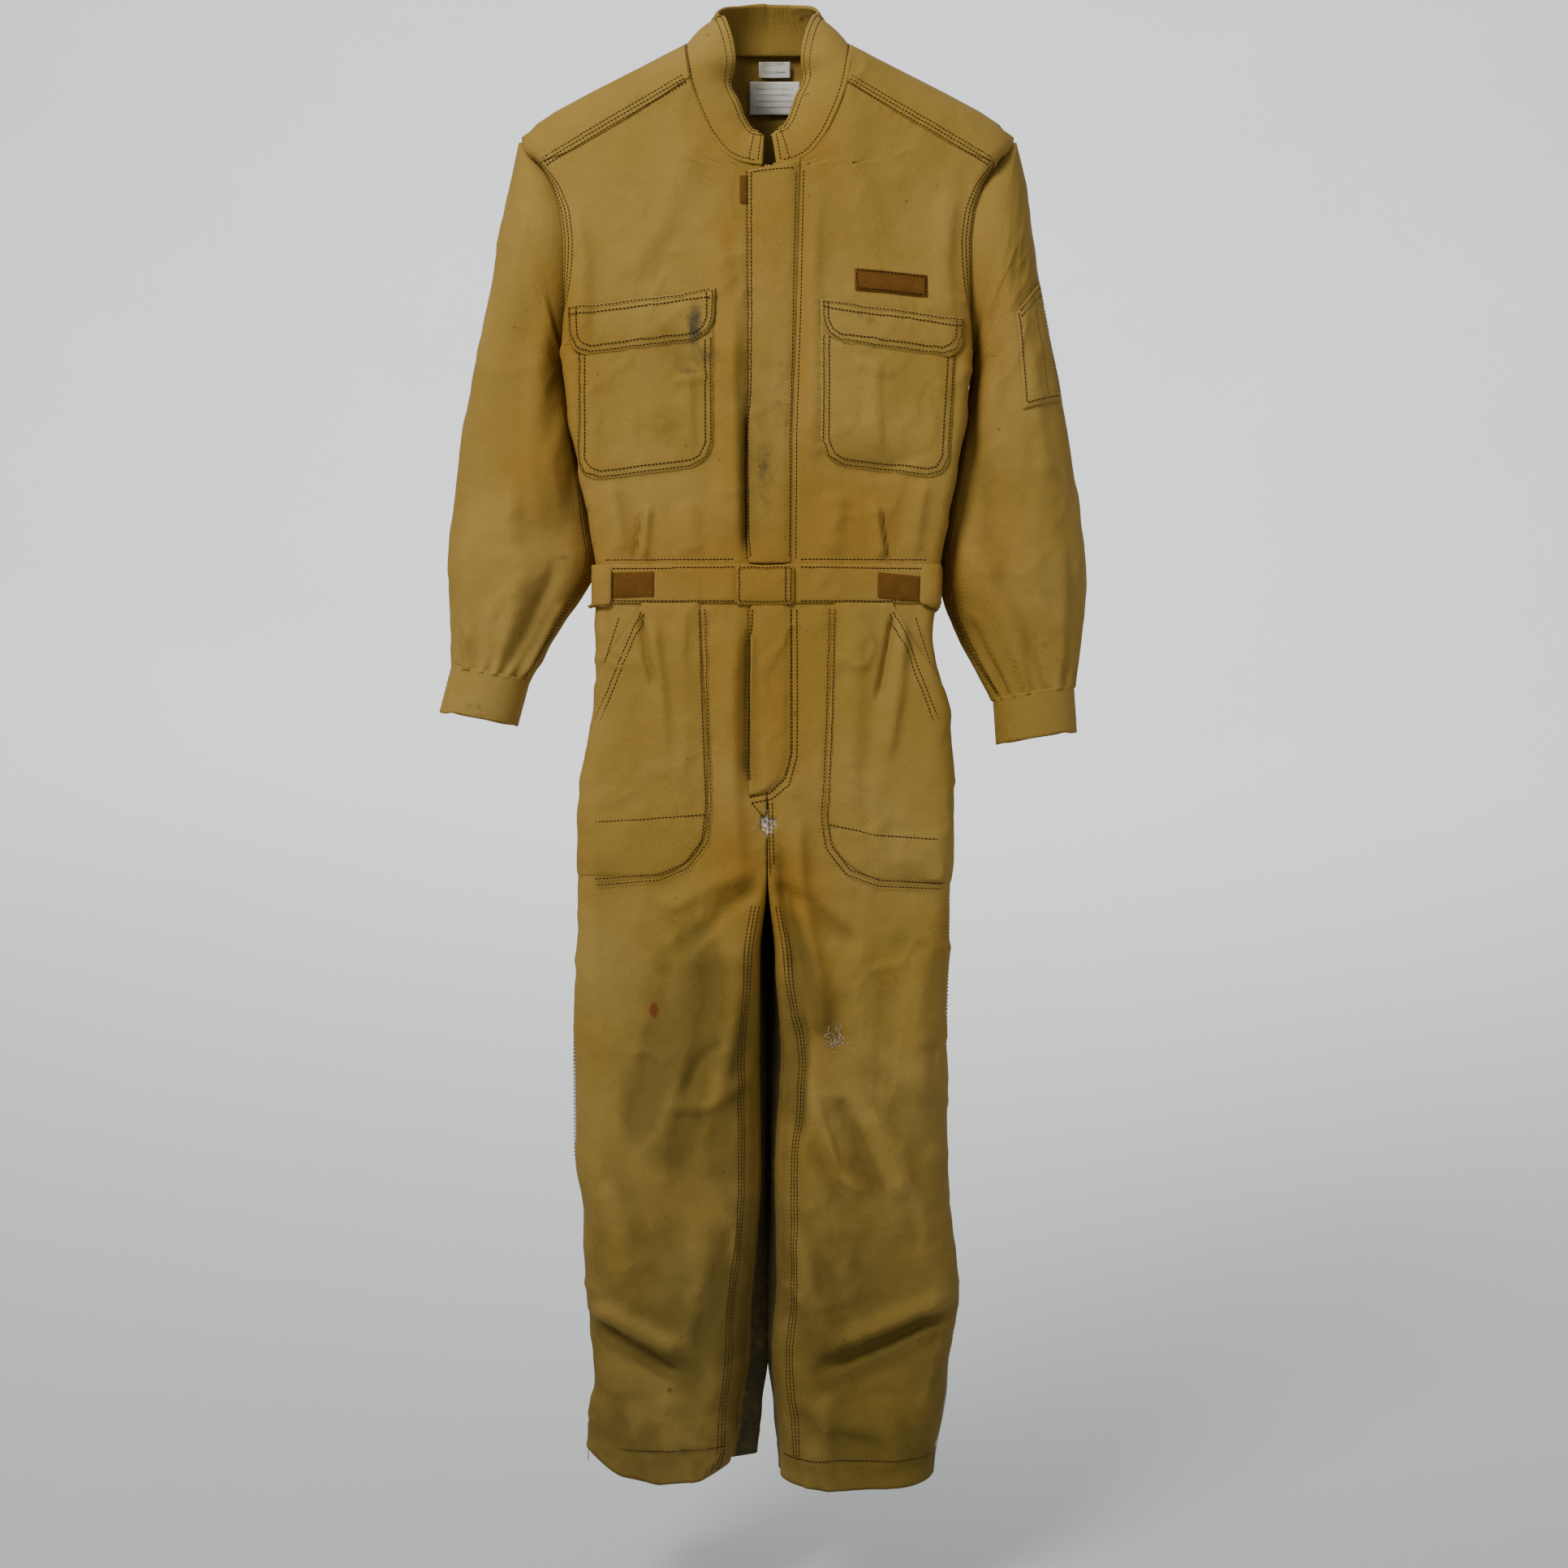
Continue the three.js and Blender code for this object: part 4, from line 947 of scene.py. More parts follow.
def yokeGrids():
    grids = []
    along = np.linspace(0, 1, 44) ** 1.6
    across = np.linspace(0, 1, 60)
    for s in (1, -1):
        col, row = np.meshgrid(across, along[::-1])  # from the front seam up to the ridge
        xSeam = mix(shape["yokeNeck"][0], yokeEdgeX, col)
        xRidge = mix(85.0, 256.0, col)
        x = mix(xRidge, xSeam, row)
        lowest = ridgeZ(xSeam) - yokeSeam(xSeam)
        drop = lowest * row
        # the neck edge follows the neckline
        z = ridgeZ(x) - drop
        x = x + (neckHalf(z) - mix(85.0, shape["yokeNeck"][0], row)) * (1 - col)
        reach = smooth((col - 0.85) / 0.15) * smooth(drop / 12)
        u = x + (bodySection(z, -1)[2] - mix(256.0, yokeEdgeX, row)) * reach
        p = bodyPoint(s * u, z, -1)
        if s < 0:
            p = p[:, ::-1]
        fade = smooth(drop / 25)
        if s < 0:
            fade = fade[:, ::-1]
        grids.append({"p": lifted(p, frontRelief(p[..., 0], p[..., 2]) * fade, 0.9), "stain": paint(p, -1)})
    shoulder = mix(85.0, 256.0, across)
    xs = np.concatenate([shoulder[::-1], np.linspace(85, -85, 56)[1:-1], -shoulder])
    col, row = np.meshgrid(xs, along)
    top = neckDrop(col)
    low = ridgeZ(np.abs(col)) - shape["yokeBack"] - 2
    drop = mix(top, low, row)[::-1]
    z = ridgeZ(np.abs(col)) - drop
    u = np.abs(col) + (bodySection(z, 1)[2] - 256.0) * smooth((np.abs(col) - 225) / 31) * smooth(drop / 12)
    p = bodyPoint(np.sign(col) * u, z, 1)
    fade = smooth(drop / 25)
    grids.append({"p": lifted(p, backRelief(p[..., 0], p[..., 2]) * fade, 0.9), "stain": paint(p, 1)})
    return grids


cloth("shoulderYoke", yokeGrids(), "garment", ["shoulder_yoke"])
for s, word in sides:
    cloth(word + "FrontPanel", [frontPanelGrid(s)], "garment", [word + "_front_panel"])
cloth("backPanel", [backPanelGrid()], "garment", ["back_panel"])
print("bodice made")

# collar

collar = {"height": 49, "frontHeight": 38, "endGap": {1: 9.0, -1: 4.5}, "thick": 2.6,
          "lean": ([0, 0.15, 0.3, 0.45, 0.75, 1], [0.45, 0.8, 1.2, 1.1, 0.45, 0.3])}


def neckline(s, count=80):
    # the seam that carries the collar, from the centre back to one front end
    points = [bodyPoint(np.array(float(x)), ridgeZ(x) - neckDrop(np.array(float(x))), 1)
              for x in (0, 15, 30, 45, 60, 70, 78, 84)]
    for z in (-12, -14, -18, -24, -32, -48, -66, -78, -90, -104, -118, -130, -139, -147):
        points.append(bodyPoint(neckHalf(np.array(float(z))), np.array(float(z)), -1))
    points.append(bodyPoint(np.array(collar["endGap"][s]), np.array(-149.5), -1))
    points = np.array(points)
    run = np.concatenate([[0], np.cumsum(np.linalg.norm(np.diff(points, axis=0), axis=1))])
    t = np.linspace(0, run[-1], count)
    out = np.stack([np.interp(t, run, points[:, k]) for k in range(3)], 1)
    for _ in range(4):
        out[1:-1] = (out[:-2] + 2 * out[1:-1] + out[2:]) / 4
    return out


necklines = {s: neckline(s) for s in (1, -1)}


def collarSurface(t, h, s):
    # t from the centre back to the front end, h up from the neckline in mm
    line = necklines[s]
    places = np.arange(len(line))
    share, level = np.asarray(t, float), np.asarray(h, float) / collar["height"]
    at = share * (len(line) - 1)
    base = np.stack([np.interp(at, places, line[:, k]) for k in range(3)], -1)
    ahead = np.gradient(line, axis=0)
    tangent = np.stack([np.interp(at, places, ahead[:, k]) for k in range(3)], -1)
    tangent = tangent / np.linalg.norm(tangent, axis=-1, keepdims=True)
    inward = np.stack([-base[..., 0], shape["seamY"] - base[..., 1], 0 * base[..., 0]], -1)
    inward = inward / np.maximum(np.linalg.norm(inward, axis=-1, keepdims=True), 1e-6)
    rise = inward * np.interp(share, *collar["lean"])[..., None] + np.array([0, 0, 1.0])
    rise = rise - tangent * (rise * tangent).sum(-1, keepdims=True)
    rise = rise / np.linalg.norm(rise, axis=-1, keepdims=True)
    out = np.cross(rise, tangent)
    bow = 3.5 * np.sin(np.pi * np.clip(level, 0, 1)) + 5 * level * np.exp(-((share - 0.74) / 0.09) ** 2)
    bow = bow - 5 * level * np.exp(-((share - 0.55) / 0.12) ** 2)
    ripple = 1.4 * lattice(at * 0.11 + 5, level * 1.2, 31 + s) + 0.8 * lattice(at * 0.3, level * 2, 34 + s)
    low = mix(1, collar["frontHeight"] / collar["height"], smooth((share - 0.5) / 0.5))
    up = np.asarray(h, float) * low + 1.5 * lattice(at * 0.09, 0 * at, 37 + s) * level
    p = base + rise * up[..., None] + out * (bow + ripple * level)[..., None]
    p[..., 0] = np.maximum(p[..., 0], mix(collar["endGap"][s], 3.2, level) * smooth((share - 0.8) / 0.1))
    return p * np.array([s, 1, 1]), out * np.array([s, 1, 1])


def collarGrid():
    t = np.linspace(0, 1, 100)
    h = np.concatenate([[-4, -1.5], np.linspace(0, collar["height"], 18)])
    col, row = np.meshgrid(t, h)
    halves = []
    for s in (1, -1):
        p, _ = collarSurface(col, row, s)
        p[..., 2] -= 6.0 * smooth((col - 0.965) / 0.035) * smooth((row / collar["height"] - 0.75) / 0.25)
        halves.append(p)
    p = np.concatenate([halves[0][:, ::-1], halves[1][:, 1:]], 1)
    return {"p": p, "stain": paint(p, -1)}


cloth("standCollar", [collarGrid()], "garment", ["collar"], thick=collar["thick"])
for s in (1, -1):
    for h in (1.5, collar["height"] - 3.5, collar["height"] - 9.5):
        t = np.linspace(0.0, 0.985, 120)
        p, n = collarSurface(t, 0 * t + h, s)
        stitch("garment", p + n * 0.3, n)
    for t0 in (0.984, 0.955):
        h = np.linspace(2, collar["height"] - 6, 16)
        p, n = collarSurface(0 * h + t0, h, s)
        stitch("garment", p + n * 0.3, n)
print("collar made")

# waistband


def bandGrid(side, half):
    b = np.linspace(0, 1, 16)
    a = np.linspace(0, 1, 74) if half else np.linspace(-1, 1, 130)
    col, row = np.meshgrid(a if half else a[::-1], b)
    z = mix(shape["waistBottom"], shape["waistTop"], row)
    end = bodySection(z, side)[2]
    u = (mix(6, end, col) if half else col * end)
    s = half or 1
    p = bodyPoint(s * u, z, side)
    fade = smooth((end - np.abs(u)) / 24)
    if s < 0:
        p, fade = p[:, ::-1], fade[:, ::-1]
    relief = (frontRelief if side < 0 else backRelief)(p[..., 0], p[..., 2]) * fade
    edge = np.minimum(row, 1 - row) * 41
    soft = -0.7 * np.exp(-(edge / 2) ** 2)
    return {"p": lifted(p, relief, 1.5 + soft), "stain": paint(p, side)}


for s, word in sides:
    cloth(word + "FrontWaistband", [bandGrid(-1, s)], "garment", [word + "_front_waistband"])
cloth("backWaistband", [bandGrid(1, 0)], "garment", ["back_waistband"])

# trousers


tear = {"middle": (0, -822), "wide": 6.5, "tall": 7.5}  # a hole worn through beside the fly


def sagged(x, z, s):
    # the hem hangs a little unevenly
    places, drops = zip(*hemSag[s])
    return z + np.interp(x, places, drops) * smooth((hemLine[s] + 110 - z) / 110)


def trouserGrid(s, side):
    top, low = shape["waistBottom"] + 5, hemLine[s]
    b = np.linspace(0, 1, 250)
    a = np.linspace(0, 1, 84 if side < 0 else 64)
    col, row = np.meshgrid(a, b)
    z = mix(low, top, row)
    p, toSide, fromIn = trouserPoint(col, z, s, side)
    flip = (s < 0) == (side < 0)
    inner = smooth(fromIn / 18) if side > 0 else np.where(z < -860, smooth(fromIn / 18), 1.0)
    fade = smooth(toSide / 24) * inner
    if flip:
        p, fade = p[:, ::-1], fade[:, ::-1]
    relief = (frontRelief if side < 0 else backRelief)(p[..., 0], p[..., 2]) * fade
    hem = 0.9 * smooth((low + 27 - p[..., 2]) / 1.5)
    nearHem = smooth((low + 40 - p[..., 2]) / 40)
    hemWave = 1.5 * lattice(p[..., 0] / 38 + 20, 0 * p[..., 0], 61) * nearHem * smooth(fromIn / 20)
    out = lifted(p, relief, hem)
    out[..., 2] = sagged(out[..., 0], out[..., 2], s) + hemWave
    (mx, mz), ragged = tear["middle"], 1 + 0.25 * lattice(p[..., 0] / 3, p[..., 2] / 4, 88)
    hole = np.hypot((p[..., 0] - mx) / tear["wide"], (p[..., 2] - mz) / tear["tall"]) < ragged
    return {"p": out, "stain": worn(p, relief, side), "keep": ~hole if side < 0 else None}


def inseamGrid(s):
    # the inner side of a leg, between its front and back
    low = hemLine[s]
    b, a = np.linspace(0, 1, 160), np.linspace(0, 1, 14)
    col, row = np.meshgrid(a, b)
    z = mix(low, -872.0, row)
    front, _, _ = trouserPoint(0 * col, z, s, -1)
    back, _, _ = trouserPoint(0 * col, z, s, 1)
    t = col if s < 0 else 1 - col
    p = mix(front, back, t[..., None])
    p[..., 2] = sagged(front[..., 0], z, s)
    stain = paint(p, -1)
    # painted shade: the inner side of the leg dark except next to its front edge, where the legs close
    # together
    stain["oil"] = stain["oil"] + 0.9 * smooth(t * 4)
    return {"p": p, "stain": stain}


for s, word in sides:
    cloth(word + "TrouserFront", [trouserGrid(s, -1), inseamGrid(s)], word + "_leg",
          [word + "_hip_front", word + "_leg_front", word + "_leg_hem"])
    cloth(word + "TrouserBack", [trouserGrid(s, 1)], word + "_leg",
          [word + "_hip_back", word + "_leg_back"])
print("trousers made")

# sleeves and cuffs

sleeveFolds = {  # turn, share down the sleeve
    1: [
        ([(0.36, 0.03), (0.34, 0.25), (0.30, 0.5)], 0.045, 0.03, 5),
        ([(0.27, 0.1), (0.2, 0.4), (0.17, 0.7)], 0.04, 0.03, 4),
        ([(0.42, 0.35), (0.3, 0.5), (0.2, 0.56)], 0.035, 0.025, 5),
        ([(0.44, 0.5), (0.34, 0.62), (0.2, 0.68)], 0.035, 0.022, -5),
        ([(0.42, 0.7), (0.32, 0.8), (0.24, 0.97)], 0.03, 0.022, 6),
        ([(0.3, 0.74), (0.24, 0.86), (0.2, 0.98)], 0.025, 0.02, -5),
        ([(0.15, 0.72), (0.14, 0.98)], 0.025, 0.02, 4), ([(0.38, 0.86), (0.37, 0.99)], 0.02, 0.015, -4),
    ],
    -1: [
        ([(0.37, 0.03), (0.33, 0.3), (0.29, 0.55)], 0.045, 0.03, 5),
        ([(0.22, 0.1), (0.16, 0.4), (0.15, 0.66)], 0.05, 0.03, 4.5),
        ([(0.45, 0.46), (0.36, 0.56), (0.26, 0.6)], 0.035, 0.025, 5),
        ([(0.45, 0.58), (0.35, 0.68), (0.22, 0.72)], 0.03, 0.022, -5),
        ([(0.22, 0.62), (0.26, 0.78), (0.28, 0.98)], 0.03, 0.022, 6),
        ([(0.34, 0.74), (0.33, 0.9), (0.33, 0.99)], 0.025, 0.02, -5),
        ([(0.12, 0.7), (0.16, 0.98)], 0.025, 0.02, 4), ([(0.4, 0.84), (0.4, 0.99)], 0.02, 0.015, 4),
    ],
}


def sleeveRelief(turn, t, s):
    stretch = 2.6  # the sleeve is about this many times longer than it is round
    lines = [([(a, b / stretch) for a, b in pts], w, n, h) for pts, w, n, h in sleeveFolds[s]]
    calm = smooth(t * 8)
    xs = np.cos(2 * np.pi * turn) * 52 + 900 * s
    zs = -t * 540 + np.sin(2 * np.pi * turn) * 50
    fine = wrinkles(xs, zs, 11 if s > 0 else 14, 0.9)
    shift = 2 * lattice(turn * 9, t * 3, 77)
    gather = 1.8 * np.sin(turn * 2 * math.pi * 15 + shift) * smooth((t - 0.9) / 0.1)
    inside = 1 - 0.85 * np.exp(-((turn - 0.5) / 0.1) ** 2) * smooth((0.9 - t) / 0.1)
    return (folds(turn, t / stretch, lines) + fine) * calm * inside + gather


def sleeveAt(turn, t, s, lift=0.0):
    def raw(turn, t):
        return sleevePoint(turn, t, s)
    p = raw(turn, t)
    da, dt = raw(turn + 0.002, t) - p, raw(turn, t + 0.002) - p
    n = np.cross(da, dt) * s
    n = n / np.maximum(np.linalg.norm(n, axis=-1, keepdims=True), 1e-9)
    return p + n * (sleeveRelief(turn % 1, t, s) + lift)[..., None], n


def sleeveGrid(s):
    turns = np.linspace(0, 1, 121)
    t = np.concatenate([[-0.012], np.linspace(0.0, 1, 150)])
    col, row = np.meshgrid(turns, t[::-1])
    p, _ = sleeveAt(col, np.maximum(row, 0), s)
    cap = s * p[..., 0] - armholeX(p[..., 2])  # the cap reaches in under the edge of the armhole
    p[..., 0] -= s * np.where(row < 0, cap + 4.0, 0)
    if s > 0:
        p = p[:, ::-1]
    return {"p": p, "stain": paint(p, -1)}


cuff = {"depth": 45, "lean": {1: 3, -1: 12}, "proud": 1.6, "outsideProud": 2.2}


def cuffAt(turn, down, s, lift=0.0):
    p, n = sleeveAt(turn, 0 * turn + 1.0, s, 0)
    base = sleevePoint(turn, 0 * turn + 1.0, s)
    share = down / cuff["depth"]
    p = mix(p, base + n * cuff["proud"], smooth(share * 2.5 + 0.2)[..., None])
    p = p + np.stack([s * cuff["lean"][s] * share, 0 * share, -down], -1)
    wave = 2.2 * lattice(turn * 7 + 3, share * 1.5, 81 + s) * share
    return p + n * (lift + wave)[..., None], n


def cuffGrid(s):
    start = 0.985 if s > 0 else 0.0
    turns = np.linspace(0.02, 0.985, 110) if s > 0 else np.linspace(0, 1, 115)
    down = np.linspace(-4, cuff["depth"], 20)
    col, row = np.meshgrid(turns, down[::-1])
    p, _ = cuffAt(col, np.maximum(row, -4), s, cuff["outsideProud"])
    p[..., 2] += 1.5 * lattice(col * 12, 0 * col, 91) * smooth(row / cuff["depth"])
    if s > 0:
        p = p[:, ::-1]
    return {"p": p, "stain": paint(p, -1)}


for s, word in sides:
    cloth(word + "Sleeve", [sleeveGrid(s)], word + "_sleeve", [word + "_sleeve"])
    cloth(word + "Cuff", [cuffGrid(s)], word + "_sleeve", [word + "_cuff"], thick=2.4)
    # the tab at the back of the cuff
    turns, down = np.linspace(0.625, 0.875, 24), np.linspace(10, 38, 12)
    col, row = np.meshgrid(turns, down[::-1])
    p, _ = cuffAt(col, row, s, cuff["outsideProud"] + 2.6)
    if s > 0:
        p = p[:, ::-1]
    grid = {"p": p, "stain": paint(p, 1)}
    cloth(word + "CuffTab", [grid], word + "_cuff_tab", [word + "_cuff_tab"], thick=1.8)
print("sleeves made")

# patches, pockets, flaps, placket

lifts = {"pocket": 1.3, "flap": 4.2, "placket": 2.4, "tab": 4.4}
chest = {  # left, right, bottom and top of pocket and flap; the slope runs down from the left end
    1: {"pocket": (54, 194, -456, -291), "flap": (53, 199, -331, -289), "slope": 0.125, "taper": 0.05,
        "pocketCorners": (26, 24, 0, 0), "flapCorners": (26, 20, 0, 0)},
    -1: {"pocket": (-194, -54, -474, -309), "flap": (-201, -52, -347, -296), "slope": -0.115, "taper": 0.0,
         "pocketCorners": (24, 26, 0, 0), "flapCorners": (20, 26, 0, 0)},
    "grid": 2.6, "pocketBulge": 1.8, "flapBulge": 1.5, "flapThick": 2.2,
}
for s, word in sides:
    own = chest[s]
    grid = plateGrid(*own["pocket"], frontSurface(lifts["pocket"]), chest["grid"], own["slope"],
                     own["pocketCorners"], chest["pocketBulge"], own["taper"])
    cloth(word + "ChestPocket", [grid], "garment", [word + "_chest_pocket"])
    grid = plateGrid(*own["flap"], frontSurface(lifts["flap"]), chest["grid"], own["slope"],
                     own["flapCorners"], chest["flapBulge"])
    cloth(word + "PocketFlap", [grid], word + "_pocket_flap", [word + "_pocket_flap"],
          thick=chest["flapThick"])

thigh = {"bottom": -876.0, "corner": 62, "seam": 60, "mouthLow": -725, "mouthHigh": -600, "mouthIn": 128,
         "shortOfSide": 26, "bulge": 1.6, "tilt": {1: -6.0, -1: 2.0}}


def thighGrid(s):
    # the patch pocket over the hip, with its slanted opening and one rounded lower corner
    bottom, top, corner = thigh["bottom"], shape["waistBottom"] + 1, thigh["corner"]
    b = np.unique(np.concatenate([np.linspace(bottom, top, 96), bottom + np.array([0.4, 1.2, 2.4])]))
    above = np.clip(b - bottom, 0, corner)
    inner = thigh["seam"] + 8 * smooth((b + 760) / 160) + corner - np.sqrt(corner ** 2 - (corner - above) ** 2)
    t = np.linspace(0, 1, 46)
    mouth = b - thigh["mouthLow"]
    slope = smooth(mouth) * np.clip(mouth / (thigh["mouthHigh"] - thigh["mouthLow"]), 0, 1)
    full = trouserPoint(np.ones_like(b), b, s, -1)[2]
    flatStart = trouserInner[s](b) + innerCorner(b)
    ri = innerCorner(b) * math.pi / 2
    runIn = ri + inner - flatStart
    runSide = full - thigh["shortOfSide"]
    runOut = runSide - (runSide - (ri + thigh["mouthIn"] - flatStart)) * slope
    share = (runIn[:, None] + (runOut - runIn)[:, None] * t) / full[:, None]
    p, toSide, _ = trouserPoint(share, b[:, None] + 0 * t, s, -1)
    edge = np.minimum(share * full[:, None] - runIn[:, None], (b - bottom)[:, None])
    if s < 0:
        p, toSide, edge = p[:, ::-1], toSide[:, ::-1], edge[:, ::-1]
    relief = frontRelief(p[..., 0], p[..., 2]) * smooth(toSide / 24)
    soft = thigh["bulge"] * smooth(edge / 25) - 0.9 * np.exp(-(np.maximum(edge, 0) / 2.4) ** 2)
    out = lifted(p, relief, lifts["pocket"] + soft)
    outward = np.clip((np.abs(p[..., 0]) - 60) / 120, 0, 1)
    out[..., 2] += thigh["tilt"][s] * outward * smooth((-650 - p[..., 2]) / 120)
    return {"p": out, "stain": paint(p, -1)}


seat = {"near": 42, "far": 158, "low": -795, "top": -650, "corner": 18, "grid": 4, "bulge": 1.5}


def seatSurface(lift):
    # the back of the trousers, for the seat pockets and their stitches
    def raw(x, z):
        crown = shape["crown"] * np.clip((z + 1300) / 400, 0, 1)
        y = shape["seamY"] + trouserBack(z) - crown * x ** 2 + backRelief(x, z)
        return np.stack([x, y, z + 0 * x], -1)

    def at(x, z):
        p = raw(x, z)
        n = np.cross(raw(x, z + 1) - p, raw(x + 1, z) - p)
        n = n / np.linalg.norm(n, axis=-1, keepdims=True)
        return p + n * lift, n
    return at


for s, word in sides:
    cloth(word + "ThighPocket", [thighGrid(s)], word + "_leg", [word + "_thigh_pocket"])
    x0, x1 = (seat["near"], seat["far"]) if s > 0 else (-seat["far"], -seat["near"])
    low, top, corner = seat["low"], seat["top"], seat["corner"]
    grid = plateGrid(x0, x1, low, top, seatSurface(1.3), seat["grid"], 0, (corner, corner, 0, 0),
                     seat["bulge"])
    grid["p"] = grid["p"][:, ::-1]
    grid["stain"] = paint(grid["p"], 1)
    cloth(word + "SeatPocket", [grid], "garment", [word + "_seat_pocket"])
    sew("garment", seatSurface(1.6), [(x0 + 3, top - 4), (x0 + 3, low + 17), (x0 + corner, low + 3),
                                      (x1 - corner, low + 3), (x1 - 3, low + 17), (x1 - 3, top - 4)])


def placketGrid(low, top, left, right, curl):
    # top and right are lists of places that their edges pass through; the right edge is sewn flat
    b, t = np.linspace(0, 1, int((top[0][1] - low) / 2.8) + 1), np.linspace(0, 1, 22)
    level = mix(low, top[0][1], b)
    end = np.interp(level, [z for _, z in right], [x for x, _ in right])
    start = left + 0.9 * lattice(level / 60, 0 * level, 44)
    x = start[:, None] + (end - start)[:, None] * t
    z = low + (np.interp(x, [q for q, _ in top], [q for _, q in top]) - low) * b[:, None]
    p, n = frontSurface(0)(x, z)
    edge, sewn = x - start[:, None], end[:, None] - x
    above = (1 - b)[:, None] * (top[0][1] - low)
    lift = mix(0.5, lifts["placket"], smooth(sewn / 9)) + 1.2 * smooth(edge / 20) * smooth(sewn / 18)
    soft = -0.8 * np.exp(-(edge / 1.8) ** 2) - 0.6 * np.exp(-(above / 1.8) ** 2) + curl * np.exp(-edge / 9)
    p = p + n * (lift + soft)[..., None]
    return {"p": p, "stain": paint(p, -1)}


placket = {"low": -557, "left": -19, "top": [(-19, -158), (10, -152.5), (24, -149.5), (37, -145)],
           "right": [(24, -557), (25, -420), (30, -300), (34, -157)], "curl": 1.2}
fly = {"low": -793, "left": -18, "top": [(-18, -598), (25, -598)],
       "right": [(-12, -793), (4, -787), (16, -776), (22, -762), (24, -748), (24, -598)], "curl": 0.8}
cloth("stormPlacket", [placketGrid(**placket)], "storm_placket", ["storm_placket"])
cloth("flyPlacket", [placketGrid(**fly)], "fly_placket", ["fly_placket"])

beltTab = {"place": (-32, 28, -599, -559), "corners": (2, 5, 2, 5), "bulge": 1.2, "thick": 2.2}
grid = plateGrid(*beltTab["place"], frontSurface(lifts["tab"]), 2.4, 0, beltTab["corners"],
                 beltTab["bulge"])
cloth("beltTab", [grid], "belt_tab", ["belt_tab"], thick=beltTab["thick"])

pads = {  # node, what it is sewn to, left, right, bottom and top, lift, thickness, slope
    "namePatch": ("name_patch", "leftFrontPanel", (89, 163, -280, -257), 1.6, 1.4, 0.09),
    "placketPad": ("placket_pad", "rightFrontPanel", (-28, -8, -192, -163), 1.3, 1.2, 0.0),
    "beltTabPad": ("belt_tab_pad", "leftFrontWaistband", (9, 24, -592, -566), 2.3, 0.8, 0.0),
    "leftWaistPad": ("left_waist_pad", "leftFrontWaistband", (112, 156, -592, -566), 2.8, 1.2, 0.09),
    "rightWaistPad": ("right_waist_pad", "rightFrontWaistband", (-159, -115, -592, -566), 2.8, 1.2, -0.02),
}


def makePad(name):
    node, under, place, lift, thick, slope = pads[name]
    grid = plateGrid(*place, frontSurface(lift), 1.8, slope, (1.5, 1.5, 1.5, 1.5), 0.5)
    cloth(name, [grid], "garment", [node], thick=thick, material=pile)


waistTab = {1: (155, 175, -601, -558), -1: (-178, -158, -601, -558), "proud": 1.1, "bulge": 0.8,
            "thick": 2.0,
            "corners": {1: (9, 1, 9, 1), -1: (1, 9, 1, 9)}}
for name in ("namePatch", "placketPad", "beltTabPad"):
    makePad(name)
for s, word in sides:
    makePad(word + "WaistPad")
    grid = plateGrid(*waistTab[s], frontSurface(lifts["tab"] + waistTab["proud"]), 2.0, 0,
                     waistTab["corners"][s], waistTab["bulge"])
    cloth(word + "WaistTab", [grid], word + "_waist_tab", [word + "_waist_tab"], thick=waistTab["thick"])

labels = {  # node, half width, top, height; then half the length of its lines, their span and count
    "sizeLabel": ("size_label", 17, -6, 16, 12, -17, -9, 2),
    "neckLabel": ("neck_label", 27, -26, 36, 20, -54, -34, 4),
}
labelMiddle = 7


def labelGrid(halfWidth, top, height):
    col, row = np.meshgrid(labelMiddle + np.linspace(-halfWidth, halfWidth, 24),
                           np.linspace(top - height, top, 18))
    p = bodyPoint(col, row, 1)
    n = -normals(p[:, ::-1])[:, ::-1]
    wave = 0.9 * lattice(col / 16, row / 14, 55)
    return {"p": p + n * (3.2 + wave)[..., None], "stain": {k: 0 * col for k in stainsAndShade}}


for name, (node, *size, _, _, _, _) in labels.items():
    cloth(name, [labelGrid(*size)], "garment", [node], thick=0.5, material=satin)

# the pen pocket on the wearer's left sleeve
penPocket = {"turns": (0.075, 0.235), "down": (0.275, 0.48)}
(turn0, turn1), (down0, down1) = penPocket["turns"], penPocket["down"]
col, row = np.meshgrid(np.linspace(turn0, turn1, 30), np.linspace(down1, down0, 56))
p, n = sleeveAt(col, row, 1, 2.0)
edge = np.minimum(np.minimum(col - turn0, turn1 - col) * 250, (down1 - row) * 540)
p = p + n * (0.9 * smooth(edge / 12) - 0.8 * np.exp(-(edge / 2) ** 2))[..., None]
p = p[:, ::-1]
cloth("penPocket", [{"p": p, "stain": paint(p, -1)}], "left_sleeve", ["pen_pocket"])
print("patches and pockets made")

